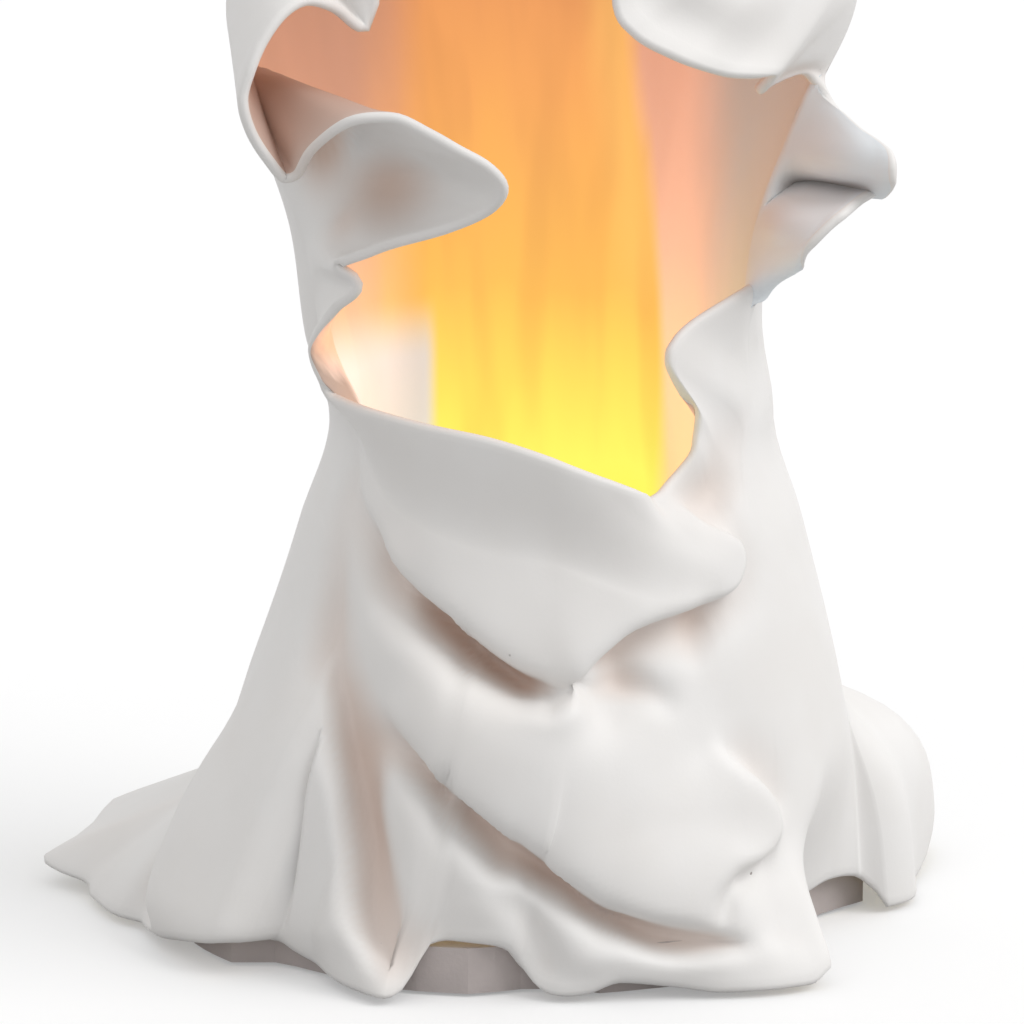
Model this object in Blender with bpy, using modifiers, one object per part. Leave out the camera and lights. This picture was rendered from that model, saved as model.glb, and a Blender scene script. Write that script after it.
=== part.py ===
"""Light-up ghost statue: an empty hooded cloak of cast resin that glows from a lamp inside.

The cloak is one hollow casting, open at the front and at the hem. A base plate closes the hem.
The plate carries a battery box, and on the box stands a lamp riser with a frosted dome.
Sizes are in millimetres, and are turned into metres where a mesh is made.
The origin is on the ground in the middle of the statue, and the front faces -Y.
"""

import math

import bmesh
import bpy
import numpy as np
from mathutils import Matrix, Vector

MM = 0.001
CLEARANCE = 0.3

# Cloak: wall, height and the round top of the hood
WALL = 3.0
CLOAK_HEIGHT = 450.0
HOOD_RADIUS = 60.0
FRONT_ANGLE = 75.0
FRONT_SPACING = 6.6
SIDE_SPACING = 22.0
BODY_ROWS = 19
LAPEL_ROWS = 6

# Height, centre x, centre y, half width and half depth of the cloak's sections
SECTIONS = (
    (0, 8.5, 0, 104, 90),
    (60, 17, 0, 90, 73),
    (120, 20, 1, 72.5, 60),
    (150, 20, 2, 63.5, 54),
    (175, 14.5, 2, 65, 54),
    (205, 13.5, 3, 68, 56),
    (240, 14, 5, 80, 60),
    (270, 17.5, 8, 89.5, 62),
    (295, 19, 11, 90, 60),
    (320, 12, 13, 72, 56),
    (345, 10, 14, 58, 55),
    (375, 10, 14, 60, 59),
    (390, 10, 14, 60, 60),
)

# Hem seen from above: x, y, lift off the ground, the height to which that lobe climbs, and how full it
# stays on the way up (1 is a plain taper)
HEM = (
    (-1, -82, 15, 60, 1),
    (5.5, -81.5, 14, 60, 1),
    (10.5, -80, 8, 60, 1),
    (15, -82, 2.5, 70, 1),
    (21.5, -85, 0.5, 70, 1),
    (30, -85, 1, 70, 1),
    (39.5, -84, 4.5, 60, 1),
    (54, -82, 2.5, 50, 1),
    (69, -81.5, 0.5, 45, 1),
    (84, -79, 0.5, 42, 1),
    (94, -74.5, 0.5, 42, 1),
    (99, -71, 3, 42, 1),
    (97, -62, 4, 42, 1),
    (85, -46, 8, 46, 1),
    (74.5, -34, 14, 50, 1),
    (83.5, -27.5, 12, 60, 1),
    (93, -18, 10, 60, 1),
    (103, -8.5, 12, 60, 1),
    (111.5, -2.5, 11, 60, 1),
    (116.5, 0, 6, 64, 1.5),
    (120, 0.5, 0.5, 64, 2),
    (130.5, 30, 0.5, 64, 3),
    (136, 52.5, 3, 64, 3),
    (136, 72, 4, 64, 3),
    (118, 92, 2, 62, 2),
    (88, 96, 6, 70, 1),
    (62, 97, 0.5, 130, 1),
    (30, 92, 8, 150, 1),
    (0, 97, 0.5, 160, 1),
    (-38, 92, 7, 150, 1),
    (-70, 93, 0.5, 100, 1),
    (-98, 84, 7, 48, 1),
    (-120, 81, 9, 42, 1),
    (-129.5, 47, 7, 40, 1),
    (-135.5, 35, 4, 40, 1),
    (-129.5, 26.5, 3, 40, 1),
    (-121, 19, 2.5, 42, 1),
    (-116, 7.5, 0.5, 44, 1),
    (-107.5, -10, 0.5, 50, 1),
    (-99.5, -18, 0.5, 90, 1),
    (-96.5, -30.5, 1.5, 110, 1),
    (-88.5, -46, 5, 110, 1),
    (-79, -60, 8, 100, 1),
    (-69.5, -61, 9.5, 90, 1),
    (-62, -56, 9, 85, 1),
    (-56, -56.5, 6, 80, 1),
    (-49, -61, 3, 80, 1),
    (-42, -72.5, 1, 80, 1),
    (-34, -82.5, 0.5, 75, 1),
    (-27.5, -88.5, 0.5, 70, 1),
    (-22.5, -86.5, 1, 60, 1),
    (-20, -85.5, 4.5, 60, 1),
    (-17.5, -85, 9.5, 60, 1),
    (-15.5, -83.5, 13.5, 60, 1),
    (-8.5, -82, 15, 60, 1),
)

# The opening, once round from the middle of the front rim towards +X. Each row is a line of cloth:
# its angle at the waist, the angle and height where it leaves the round body, then its end x, y, z.
OPENING = (
    (0, 0, 120, 20, -67, 151.5),
    (22, 23, 112, 42.5, -61, 142),
    (36, 37, 112, 48.5, -54, 138),
    (43, 44, 116, 56, -44, 141.5),
    (48, 49, 124, 61.5, -38, 149),
    (54, 55, 134, 62, -36, 157.5),
    (60, 61, 150, 53.5, -41, 174),
    (66, 67, 162, 60.5, -34, 183.5),
    (71, 72.5, 175, 79, -12, 190.5),
    (72.5, 74.5, 181, 83.5, -8, 195.5),
    (74, 77, 188, 89, -26, 200),
    (77, 79.5, 200, 101, -36, 213),
    (80, 81, 212, 114, -12, 217.5),
    (82.5, 82.3, 226, 115.5, -30, 231),
    (85, 83.3, 242, 101.5, -8, 240.5),
    (88, 83.8, 258, 90, -14, 251),
    (89.5, 83.8, 265, 77.5, -42, 249.5),
    (90.5, 83.7, 272, 81.5, -52, 256),
    (92, 83.3, 280, 66.5, -68, 259.5),
    (95, 82.5, 294, 41.5, -75, 271.5),
    (97.5, 82, 304, 37, -72, 281.5),
    (101, 82, 318, 40, -64, 314),
    (108, 86.5, 345, 48, -52, 345),
    (119.5, 98, 385, 44, -44, 385),
    (148, 130, 418, 30, -40, 415),
    (180, 180, 430, 11, -38, 426),
    (212, 230, 418, -8, -40, 415),
    (240, 262, 385, -22, -44, 385),
    (254.3, 274, 345, -30, -50, 345),
    (259, 278, 318, -28, -55, 304),
    (262, 279, 304, -30.5, -56, 270.5),
    (265.5, 278, 290, -46, -68, 280),
    (268, 277, 277, -59, -75, 269.5),
    (270.3, 276, 266, -65, -77, 252.5),
    (272.7, 276.5, 255, -58.5, -71, 235),
    (274, 277, 250, -52.5, -66, 227.5),
    (276.5, 279, 243, -42, -80, 241.5),
    (279.5, 281.5, 235, -23, -87, 248.5),
    (282.5, 284, 225.5, -4, -89, 240),
    (285, 286, 217.5, 7, -87, 230),
    (287.7, 288.5, 209, -7.5, -77, 219.5),
    (290.5, 290.5, 200, -31, -62, 210),
    (292.8, 292.5, 192, -40.5, -52, 203),
    (294.2, 293.5, 187, -34.5, -54, 198.5),
    (296, 294.5, 180, -40.5, -47, 192),
    (301, 298, 163, -48, -29, 174.5),
    (308, 304, 148, -41.5, -30, 161.5),
    (320, 316, 136, -31, -45, 161),
    (334, 331, 128, -15, -56, 159),
    (348, 346, 123, 3, -64, 156.5),
)
BACK_LEAN = 0.35
LEAN_START = 130.0
LEAN_RANGE = 200.0
LAPEL_SPRING = 0.9
LAPEL_HEADING = 0.98
HOOD_DROOP = 20.0
DROOP_START = 385.0
DROOP_RANGE = 45.0

# Folds, each with the width over which its lift dies away, the width of its groove, and its line: points
# of angle, height, lift, drop and groove depth. The raised cloth is on the line's left, the drop is the
# width of the step down on its right, and the groove lies past the drop.
FOLD_DEGREE = 1.5
FOLD_LEAST_DROP = 8.0
FOLD_BLEND = 0.1
FOLDS = (
    # front flap: its belly from the left, then its free edge up to the tip at the right
    (40, 8, (
        (-50, 139, 1, 8, 1), (-44.7, 132.3, 2, 8, 3), (-38.8, 125.9, 3, 8, 5), (-33.7, 117.6, 4, 8, 8),
        (-27.4, 110.7, 4.5, 8, 10), (-18.9, 104.2, 4.5, 8, 11), (-12, 97.2, 4.5, 7, 11),
        (-6.1, 92, 4.5, 7, 10), (0, 87.9, 5, 7, 9), (5, 85.1, 6, 6, 7), (7.1, 84.7, 6, 5, 7),
        (6.9, 88.7, 7, 4, 6), (7.9, 92, 7, 4, 6), (10.9, 96.1, 6.5, 4, 7), (14.9, 100.5, 6, 4, 7),
        (18.2, 102.4, 6, 4, 7), (23, 104.2, 5.5, 4, 6), (31.6, 106.5, 5, 4, 5), (39.4, 108.6, 5, 4, 4),
        (42.6, 110.5, 5, 4, 3), (44.7, 113.3, 5, 4, 2), (45.4, 116.9, 5, 4, 1), (44.4, 121.5, 5, 4, 1),
        (43.1, 124, 4, 4, 1), (41.2, 127.8, 3, 4, 1), (40.2, 133.3, 2, 4, 1), (37.6, 136.4, 0, 4, 0),
    )),
    # wrap under the flap: its upper roll
    (24, 7, (
        (12, 82.7, 0, 4, 4), (8.9, 82, 3, 3, 4), (6.7, 81, 5, 3, 5), (3, 79.7, 7, 3, 6),
        (0, 78.5, 7, 3, 7), (-2.4, 79.4, 7, 3, 7), (-5.3, 80.9, 7, 3, 7), (-8.5, 83.9, 7, 3, 7),
        (-12.2, 87, 7, 3, 7), (-17.1, 90.8, 7, 3, 7), (-21.3, 95, 6, 3, 7), (-26, 99.3, 5, 3, 6),
        (-29.8, 105.6, 3, 3, 4), (-34.1, 116.5, 0, 3, 0),
    )),
    # wrap: its rolled border, from the left down to the tongue
    (26, 8, (
        (-31.4, 82, 0, 5, 0), (-27.9, 74.9, 4, 5, 2), (-22.5, 67.3, 6, 5, 5), (-18.9, 62.2, 7, 5, 6),
        (-12.8, 54.8, 8, 5, 7), (-7.6, 49.1, 8, 5, 7), (-2.4, 41.9, 8, 5, 7), (5, 34.2, 8, 5, 7),
        (9.9, 29, 8, 5, 7), (14.9, 24.7, 8, 4, 7), (20.1, 21.8, 7, 4, 7), (25.6, 19.5, 6, 4, 6),
        (30.4, 17.9, 6, 4, 5), (33.5, 16.6, 5, 4, 4), (36, 15.2, 4, 4, 3), (39, 13.8, 2, 4, 1),
        (40.5, 11.7, 0, 4, 0),
    )),
    # foot: comes down from the left and runs out into the tongue
    (18, 8, (
        (41.4, 9.5, 0, 4, 1), (37.1, 10.9, 2, 4, 2), (33, 10.3, 4, 4, 3), (29.2, 8.3, 5, 4, 3),
        (26.3, 8.2, 5, 4, 4), (22, 10, 5, 4, 4), (18.8, 12.6, 5, 4, 4), (14.9, 16.2, 6, 4, 5),
        (10.2, 21, 6, 4, 5), (5.9, 25, 6, 4, 5), (0, 30.2, 6, 4, 5), (-4.4, 33, 6, 4, 4),
        (-5.8, 32.8, 6, 4, 4), (-10.9, 40.6, 6, 4, 5), (-15.4, 47.3, 6, 4, 5), (-19.8, 53.6, 6, 4, 5),
        (-23.6, 57.8, 5, 4, 4), (-27.9, 61, 3, 4, 3), (-32.6, 62.2, 0, 4, 2),
    )),
    # valley below the foot's knee
    (0, 4, (
        (-4.4, 31.5, 0, 0, 1), (-0.4, 25.1, 0, 0, 4), (2.8, 19, 0, 0, 5), (4.8, 13.8, 0, 0, 5),
        (5.9, 7.7, 0, 0, 5),
    )),
    # left panel's edge, the valley over it and the crease beside it
    (26, 9, (
        (-21.1, 6.8, 3, 8, 3), (-24.5, 12.5, 4, 8, 3), (-27.5, 18.7, 5, 8, 4), (-30.6, 27.5, 5, 8, 5),
        (-32.9, 36.1, 6, 8, 6), (-35.4, 45.3, 6, 8, 7), (-37.4, 54.9, 6, 8, 8), (-39.3, 61.1, 6, 8, 8),
        (-42.2, 68.5, 6, 7, 8), (-45.1, 75.8, 5, 6, 7), (-48.9, 82.3, 3, 5, 5), (-51, 87, 0, 4, 3),
    )),
    (0, 8, (
        (-58, 128, 0, 0, 1), (-54, 112, 0, 0, 3), (-52, 92.4, 0, 0, 4), (-49.1, 83.3, 0, 0, 3),
        (-45.2, 72.8, 0, 0, 0),
    )),
    (0, 5, (
        (-36.5, 62, 0, 0, 0), (-32, 46, 0, 0, 2), (-25, 27.3, 0, 0, 2.5), (-18.5, 12.6, 0, 0, 2),
    )),
    # front panel's edge over the left train
    (20, 8, (
        (-84, 60, 0, 6, 1), (-79.5, 51, 3, 6, 3), (-76, 45.3, 5, 6, 5), (-74.4, 32.2, 6, 6, 6),
        (-73.2, 18.1, 6, 6, 6), (-70.5, 5.6, 5, 6, 4),
    )),
    # wrap: its own tip at the right, and its end below
    (22, 10, (
        (34.5, 25, 0, 4, 0), (34, 29.8, 2, 4, 2), (34, 31.3, 4, 4, 3), (34.8, 33.3, 5, 4, 3),
        (36, 34.2, 6, 4, 3), (39, 35, 6, 4, 3), (41.7, 36.6, 6, 4, 3), (44.7, 39.1, 6, 4, 3),
        (45.5, 40.6, 6, 4, 3), (45, 46.9, 6, 4, 3), (40.2, 57.2, 6, 4, 3), (35.4, 61.8, 4, 4, 2),
        (30.4, 67.8, 0, 4, 0),
    )),
    (0, 3.5, (
        (34.6, 31.3, 0, 0, 3), (33.5, 27, 0, 0, 4), (33.3, 22.1, 0, 0, 3), (33.8, 17.9, 0, 0, 1),
    )),
    # right side: creases under the opening, and the valley beside the flap
    (0, 5, (
        (60, 154.1, 0, 0, 1), (51.8, 142.5, 0, 0, 3), (46.6, 137.5, 0, 0, 4), (43.5, 133, 0, 0, 3),
        (41.3, 130.2, 0, 0, 1),
    )),
    (0, 4, (
        (55.6, 142.5, 0, 0, 0), (48.2, 135.1, 0, 0, 2), (44.4, 127.5, 0, 0, 0),
    )),
    (0, 6, (
        (34, 108, 0, 0, 2), (32.8, 104.5, 0, 0, 4), (30.1, 97.4, 0, 0, 3), (27.3, 89.8, 0, 0, 0),
    )),
    # back: four soft folds that fall from the shoulders
    (26, 14, (
        (128, 14, 3, 12, 1), (122, 80, 5, 12, 2), (116, 170, 5, 12, 2), (110, 240, 0, 12, 0),
    )),
    (30, 14, (
        (164, 14, 3, 12, 1), (160, 90, 5, 12, 2), (166, 190, 5, 12, 2), (174, 280, 0, 12, 0),
    )),
    (26, 14, (
        (205, 14, 3, 12, 1), (200, 90, 4, 12, 2), (196, 170, 4, 12, 2), (192, 250, 0, 12, 0),
    )),
    (30, 14, (
        (242, 20, 3, 12, 1), (236, 90, 5, 12, 2), (232, 170, 5, 12, 2), (236, 250, 0, 12, 0),
    )),
)
FOLD_FADE_TOP = 16.0
HEM_STEEPNESS = 6
HEM_PASSES = 6
GROUND_GAP = 1.7

# Base: rubber feet under a resin plate whose skirt comes down round them
FOOT_HEIGHT = 4.0
FOOT_DIAMETER = 12.0
FEET = ((60, -33), (-38, -42), (60, 60), (-44, 54))
PLATE_THICKNESS = 10.0
PLATE_SIDES = 80
PLATE_REACH = 0.98
PLATE_FIT = 0.3
SKIRT_WIDTH = 4.0
SKIRT_GAP = 1.0

# Batteries: three AA cells side by side, the middle one turned round
CELL_DIAMETER = 14.2
CELL_LENGTH = 48.2
CELL_NUB_DIAMETER = 5.4
CELL_NUB_LENGTH = 1.2
CELL_SPACE = 1.4
CELLS = 3

# Battery box: its place, walls and flange
BOX_X = 12.0
BOX_WALL = 2.0
BOX_END_ROOM = 10.4
BOX_SCREW_BLOCK = 10.0
BOX_CORNER = 2.0
FLANGE_WIDTH = 10.0
FLANGE_THICKNESS = 2.0
FLANGE_CORNER = 4.0
CONTACT_THICKNESS = 0.6
CONTACT_WIDTH = 9.0
SPRING_RADIUS = 4.2
SPRING_TIP_RADIUS = 2.8
SPRING_WIRE = 0.7
SPRING_TURNS = 4
SPRING_POINTS = 8

# Battery door with its pin and screw
DOOR_THICKNESS = 2.4
KNUCKLE_RADIUS = 1.5
KNUCKLE_WIDTH = 4.0
PIN_RADIUS = 0.6
PIN_SEAT = 1.0
SCREW_RADIUS = 1.2
SCREW_LENGTH = 7.0
SCREW_HEAD_RADIUS = 2.5
SCREW_HEAD_HEIGHT = 1.3
SCREW_SLOT = 0.7
SCREW_SLOT_LENGTH = 3.5
DOOR_SCREW_PLAY = 0.8

# Slide switch in the flange
SWITCH_WIDTH = 6.6
SWITCH_LENGTH = 14.0
SWITCH_HEIGHT = 5.0
SLIDER_WIDTH = 3.0
SLIDER_LENGTH = 4.4
SLIDER_TRAVEL = 2.5
SLIDER_PROUD = 1.2
SLIDER_DEPTH = 1.8

# Lamp: riser on the box, light board, bulbs and frosted dome
RISER_RADIUS = 20.0
RISER_WALL = 2.0
RISER_HEIGHT = 62.0
RISER_FOOT_WIDTH = 5.5
RISER_FOOT_THICKNESS = 2.0
LEDGE_WIDTH = 2.6
LEDGE_THICKNESS = 2.0
BOARD_THICKNESS = 1.6
BULBS = 3
BULB_RADIUS = 2.5
BULB_HEIGHT = 8.6
BULB_CIRCLE = 7.0
BULB_RIM = 1.0
DOME_WALL = 1.5
DOME_HEIGHT = 27.0
DOME_STEPS = 6
DOME_LIP = 1.6
DOME_LIP_THICKNESS = 2.0
RING_THICKNESS = 2.0
TIMER_BOARD_SIZE = (22.0, 16.0)
CHIP_SIZE = (6.0, 5.0, 1.6)
CAPACITOR_RADIUS = 2.6
CAPACITOR_HEIGHT = 7.0
LEAD_RADIUS = 0.7
LEAD_SPACING = 6.0
LEAD_SWAY = 2.0
LEAD_POINTS = 10
LAMP_SIDES = 24

# Colour, roughness and metallic value of each finish
FINISHES = {
    "resin": ((0.80, 0.785, 0.77), 0.62, 0.0),
    "black plastic": ((0.025, 0.025, 0.027), 0.45, 0.0),
    "white plastic": ((0.72, 0.71, 0.69), 0.40, 0.0),
    "frosted plastic": ((0.95, 0.86, 0.62), 0.55, 0.0),
    "rubber": ((0.03, 0.03, 0.03), 0.85, 0.0),
    "steel": ((0.62, 0.62, 0.63), 0.30, 1.0),
    "cell sleeve": ((0.10, 0.22, 0.16), 0.35, 0.0),
    "circuit board": ((0.03, 0.18, 0.09), 0.40, 0.0),
    "bulb": ((1.0, 0.72, 0.30), 0.12, 0.0),
    "red lead": ((0.55, 0.03, 0.03), 0.45, 0.0),
    "black lead": ((0.02, 0.02, 0.02), 0.45, 0.0),
}

# Heights that follow from the stack of base, box and lamp
plate_bottom = FOOT_HEIGHT + CLEARANCE
plate_top = plate_bottom + PLATE_THICKNESS
flange_top = plate_bottom - CLEARANCE
flange_bottom = flange_top - FLANGE_THICKNESS
door_top = flange_bottom + DOOR_THICKNESS
cell_axis = door_top + CLEARANCE + CELL_DIAMETER / 2
box_roof = cell_axis + CELL_DIAMETER / 2 + CLEARANCE
box_top = box_roof + BOX_WALL
riser_bottom = box_top + CLEARANCE
ledge_top = riser_bottom + RISER_HEIGHT - DOME_LIP_THICKNESS - 2 * CLEARANCE - BOARD_THICKNESS
board_bottom = ledge_top + CLEARANCE
dome_bottom = board_bottom + BOARD_THICKNESS + CLEARANCE
riser_top = riser_bottom + RISER_HEIGHT

# Plan of the battery box: the cavity for the cells is centred on the lamp's axis
cell_pitch = CELL_DIAMETER + CELL_SPACE
cavity_half_width = (CELLS * cell_pitch + CELL_SPACE) / 2
cavity_half_length = (CELL_LENGTH + CELL_NUB_LENGTH + BOX_END_ROOM) / 2
door_end = cavity_half_length + BOX_SCREW_BLOCK
box_end = door_end + BOX_WALL
box_front = -cavity_half_length - BOX_WALL
box_half_width = cavity_half_width + BOX_WALL
hinge_y = -cavity_half_length + CLEARANCE + KNUCKLE_RADIUS
hinge_z = flange_bottom + KNUCKLE_RADIUS
door_screw_y = cavity_half_length + BOX_SCREW_BLOCK / 2
switch_x = BOX_X + box_half_width + FLANGE_WIDTH / 2


def collection(name):
    made = bpy.data.collections.new(name)
    bpy.context.scene.collection.children.link(made)
    return made


def finish(name):
    """The material of one finish."""
    known = bpy.data.materials.get(name)
    if known:
        return known
    colour, roughness, metallic = FINISHES[name]
    made = bpy.data.materials.new(name)
    made.use_nodes = True
    shader = made.node_tree.nodes["Principled BSDF"]
    shader.inputs["Base Color"].default_value = (*colour, 1)
    shader.inputs["Roughness"].default_value = roughness
    shader.inputs["Metallic"].default_value = metallic
    return made


def add_object(name, data, group, finish_name, origin=(0, 0, 0)):
    """Puts a named object with its finish into a collection. Its origin is in millimetres."""
    made = bpy.data.objects.new(name, data)
    made.location = Vector(origin) * MM
    data.materials.append(finish(finish_name))
    group.objects.link(made)
    return made


def mesh_of(name, shape, origin=(0, 0, 0), sharp=40):
    """Turns a bmesh in millimetres into a mesh in metres about the origin."""
    bmesh.ops.translate(shape, vec=-Vector(origin), verts=shape.verts)
    bmesh.ops.scale(shape, vec=(MM, MM, MM), verts=shape.verts)
    mesh = bpy.data.meshes.new(name)
    shape.to_mesh(mesh)
    shape.free()
    mesh.shade_smooth()
    mesh.set_sharp_from_angle(angle=math.radians(sharp))
    return mesh


def piece(name, shape, finish_name, origin=(0, 0, 0), sharp=40):
    """Makes one of the statue's named pieces."""
    return add_object(name, mesh_of(name, shape, origin, sharp), statue, finish_name, origin)


def cutter(name, shape):
    """Makes a hidden object that only changes others."""
    made = add_object(name, mesh_of(name, shape), cutters, "black plastic")
    made.display_type = "WIRE"
    made.hide_render = True
    return made


def combine(target, other, operation):
    change = target.modifiers.new(other.name, "BOOLEAN")
    change.operation = operation
    change.solver = "EXACT"
    change.object = other


def add_block(shape, low, high, corner=0.0):
    """Adds a box between two points, with its upright edges rounded to a corner radius."""
    low, high = Vector(low), Vector(high)
    matrix = Matrix.LocRotScale((low + high) / 2, None, high - low)
    verts = bmesh.ops.create_cube(shape, size=1, matrix=matrix)["verts"]
    if corner:
        edges = {edge for vert in verts for edge in vert.link_edges}
        upright = [edge for edge in edges if (edge.verts[0].co - edge.verts[1].co).xy.length < corner / 10]
        bmesh.ops.bevel(
            shape, geom=upright, offset=corner, segments=4, affect="EDGES", profile=0.5, material=-1
        )
    return shape


def add_rod(shape, centre, radius, bottom, top, sides=20):
    """Adds an upright rod."""
    matrix = Matrix.Translation((*centre, (bottom + top) / 2))
    bmesh.ops.create_cone(
        shape, cap_ends=True, segments=sides, radius1=radius, radius2=radius, depth=top - bottom, matrix=matrix
    )
    return shape


def add_cross_rod(shape, centre, radius, length, sides=16):
    """Adds a rod that lies along X."""
    matrix = Matrix.Translation(centre) @ Matrix.Rotation(math.pi / 2, 4, "Y")
    bmesh.ops.create_cone(
        shape, cap_ends=True, segments=sides, radius1=radius, radius2=radius, depth=length, matrix=matrix
    )
    return shape


def turned(name, profile, finish_name, origin, sides=32):
    """A solid turned about its own Z. The profile is (radius, height) points, down the outer side first."""
    shape = bmesh.new()
    verts = [shape.verts.new((radius, 0, height)) for radius, height in profile]
    for start, end in zip(verts, verts[1:] + verts[:1]):
        if start.co.x > 0 or end.co.x > 0:
            shape.edges.new((start, end))
    made = add_object(name, mesh_of(name, shape), statue, finish_name, origin)
    spin = made.modifiers.new("turn", "SCREW")
    spin.steps = sides
    spin.render_steps = sides
    spin.use_merge_vertices = True
    spin.merge_threshold = 0.00001
    return made


def wire(name, points, radius, finish_name, bevel_resolution=2):
    """A round wire through the points, with closed ends."""
    curve = bpy.data.curves.new(name, "CURVE")
    curve.dimensions = "3D"
    line = curve.splines.new("POLY")
    line.points.add(len(points) - 1)
    for knot, point in zip(line.points, points):
        knot.co = (*(Vector(point) * MM), 1)
    curve.bevel_depth = radius * MM
    curve.bevel_resolution = bevel_resolution
    curve.use_fill_caps = True
    return add_object(name, curve, statue, finish_name)


def ease(share):
    """Rises from 0 to 1 with level ends."""
    share = np.clip(share, 0, 1)
    return share * share * (3 - 2 * share)


def smooth_curve(at, knots, values, period=None):
    """A smooth curve through values at knots, read at the given places. A period closes it."""
    knots = np.asarray(knots, float)
    values = np.asarray(values, float).reshape(len(knots), -1)
    at = np.asarray(at, float)
    if period:
        at = np.mod(at - knots[0], period) + knots[0]
        knots = np.concatenate([knots[-2:] - period, knots, knots[:2] + period])
        values = np.concatenate([values[-2:], values, values[:2]])
    slopes = np.gradient(values, knots, axis=0)
    chords = np.diff(values, axis=0) / np.diff(knots)[:, None]
    steepest = 3 * np.minimum(abs(chords[:-1]), abs(chords[1:])) * (chords[:-1] * chords[1:] > 0)
    slopes[1:-1] = np.clip(slopes[1:-1], -steepest, steepest)
    span = np.clip(np.searchsorted(knots, at, side="right") - 1, 0, len(knots) - 2)
    width = (knots[span + 1] - knots[span])[..., None]
    t = np.clip((at - knots[span])[..., None] / width, 0, 1)
    start, end = values[span], values[span + 1]
    leave, arrive = slopes[span] * width, slopes[span + 1] * width
    return (
        (2 * t**3 - 3 * t**2 + 1) * start
        + (t**3 - 2 * t**2 + t) * leave
        + (3 * t**2 - 2 * t**3) * end
        + (t**3 - t**2) * arrive
    )


def hem_rows():
    """The hem as sorted rows of angle, reach (1 is the plain section), lift, climb and fullness."""
    _, centre_x, centre_y, half_width, half_depth = SECTIONS[0]
    rows = []
    for x, y, lift, climb, fullness in HEM:
        across, forward = (x - centre_x) / half_width, (centre_y - y) / half_depth
        angle = math.degrees(math.atan2(across, forward)) % 360
        rows.append((angle, math.hypot(across, forward), lift, climb, fullness))
    return np.array(sorted(rows))


def hem_at(angle):
    rows = hem_rows()
    return np.moveaxis(smooth_curve(angle, rows[:, 0], rows[:, 1:], 360), -1, 0)


def body_point(angle, height):
    """A point of the plain body: round sections, spread into the hem's lobes near the ground."""
    table = np.array(SECTIONS, float)
    dome_start = CLOAK_HEIGHT - HOOD_RADIUS
    level = np.minimum(height, dome_start)
    section = smooth_curve(level, table[:, 0], table[:, 1:])
    centre_x, centre_y, half_width, half_depth = np.moveaxis(section, -1, 0)
    close = np.sqrt(np.clip(1 - (np.maximum(height - dome_start, 0) / HOOD_RADIUS) ** 2, 0, 1))
    reach, _, climb, fullness = hem_at(angle)
    spread = 1 + (reach - 1) * ease(1 - np.clip(height / climb, 0, 1) ** fullness)
    turn = np.radians(angle)
    x = centre_x + half_width * spread * close * np.sin(turn)
    y = centre_y - half_depth * spread * close * np.cos(turn)
    return np.stack([x, y, height + 0 * turn], -1)


def opening_columns(front_spacing, side_spacing):
    """The cloak's columns, as places along the OPENING rows. Every row gets one, and long gaps get more."""
    rows = np.array(OPENING, float)
    edge = rows[:, 3:]
    hem = body_point(rows[:, 0], 0 * rows[:, 0])
    places = []
    for number, angle in enumerate(rows[:, 0]):
        after = (number + 1) % len(rows)
        gap = max(np.linalg.norm(edge[after] - edge[number]), np.linalg.norm(hem[after] - hem[number]))
        facing = angle < FRONT_ANGLE or angle >= 360 - FRONT_ANGLE
        count = max(1, round(gap / (front_spacing if facing else side_spacing)))
        places.extend(number + np.arange(count) / count)
    return np.array([*places, len(rows)])


def opening_at(place):
    """Waist angle, root angle, root height and edge point for places along the OPENING rows."""
    rows = np.array(OPENING, float)
    count = len(rows)
    knots = np.arange(count)
    rows[:, :2] -= knots[:, None] * 360 / count
    read = smooth_curve(place, knots, rows, count)
    read[:, :2] += place[:, None] * 360 / count
    return read[:, 0], read[:, 1], read[:, 2], read[:, 3:]


def plain_cloak(places, body_rows, lapel_rows):
    """The cloak's outer surface before its folds, as rows of points from the hem to the opening."""
    waist_angle, root_angle, root_height, edge = opening_at(places)
    lift = hem_at(waist_angle)[1]
    power = 1 + BACK_LEAN * ease((root_height - LEAN_START) / LEAN_RANGE)

    def along_body(share):
        share = share**power
        height = lift + (root_height - lift) * share
        return body_point(waist_angle + (root_angle - waist_angle) * share**3, height)

    share = np.linspace(0, 1, body_rows + 1)[:, None]
    body = along_body(share * np.ones_like(root_height))
    root = body[-1]
    heading = root - along_body(np.full_like(root_height, LAPEL_HEADING))
    heading /= np.linalg.norm(heading, axis=1, keepdims=True)
    chord = edge - root
    leave = heading * np.linalg.norm(chord, axis=1, keepdims=True) * LAPEL_SPRING
    top = ease((root_height - DROOP_START) / DROOP_RANGE)[:, None]
    arrive = chord - np.array([0, 0, 2 * HOOD_DROOP]) * top
    t = np.linspace(0, 1, lapel_rows + 1)[1:, None, None]
    lapel = (
        (2 * t**3 - 3 * t**2 + 1) * root
        + (t**3 - 2 * t**2 + t) * leave
        + (3 * t**2 - 2 * t**3) * edge
        + (t**3 - t**2) * arrive
    )
    return np.concatenate([body, lapel])


def outward(surface):
    """Unit normals of a surface whose first and last columns meet."""
    ring = surface[:, :-1]
    across = np.roll(ring, -1, 1) - np.roll(ring, 1, 1)
    up = np.gradient(ring, axis=0)
    normal = np.cross(across, up)
    normal /= np.maximum(np.linalg.norm(normal, axis=2, keepdims=True), 1e-9)
    return np.concatenate([normal, normal[:, :1]], axis=1)


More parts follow.
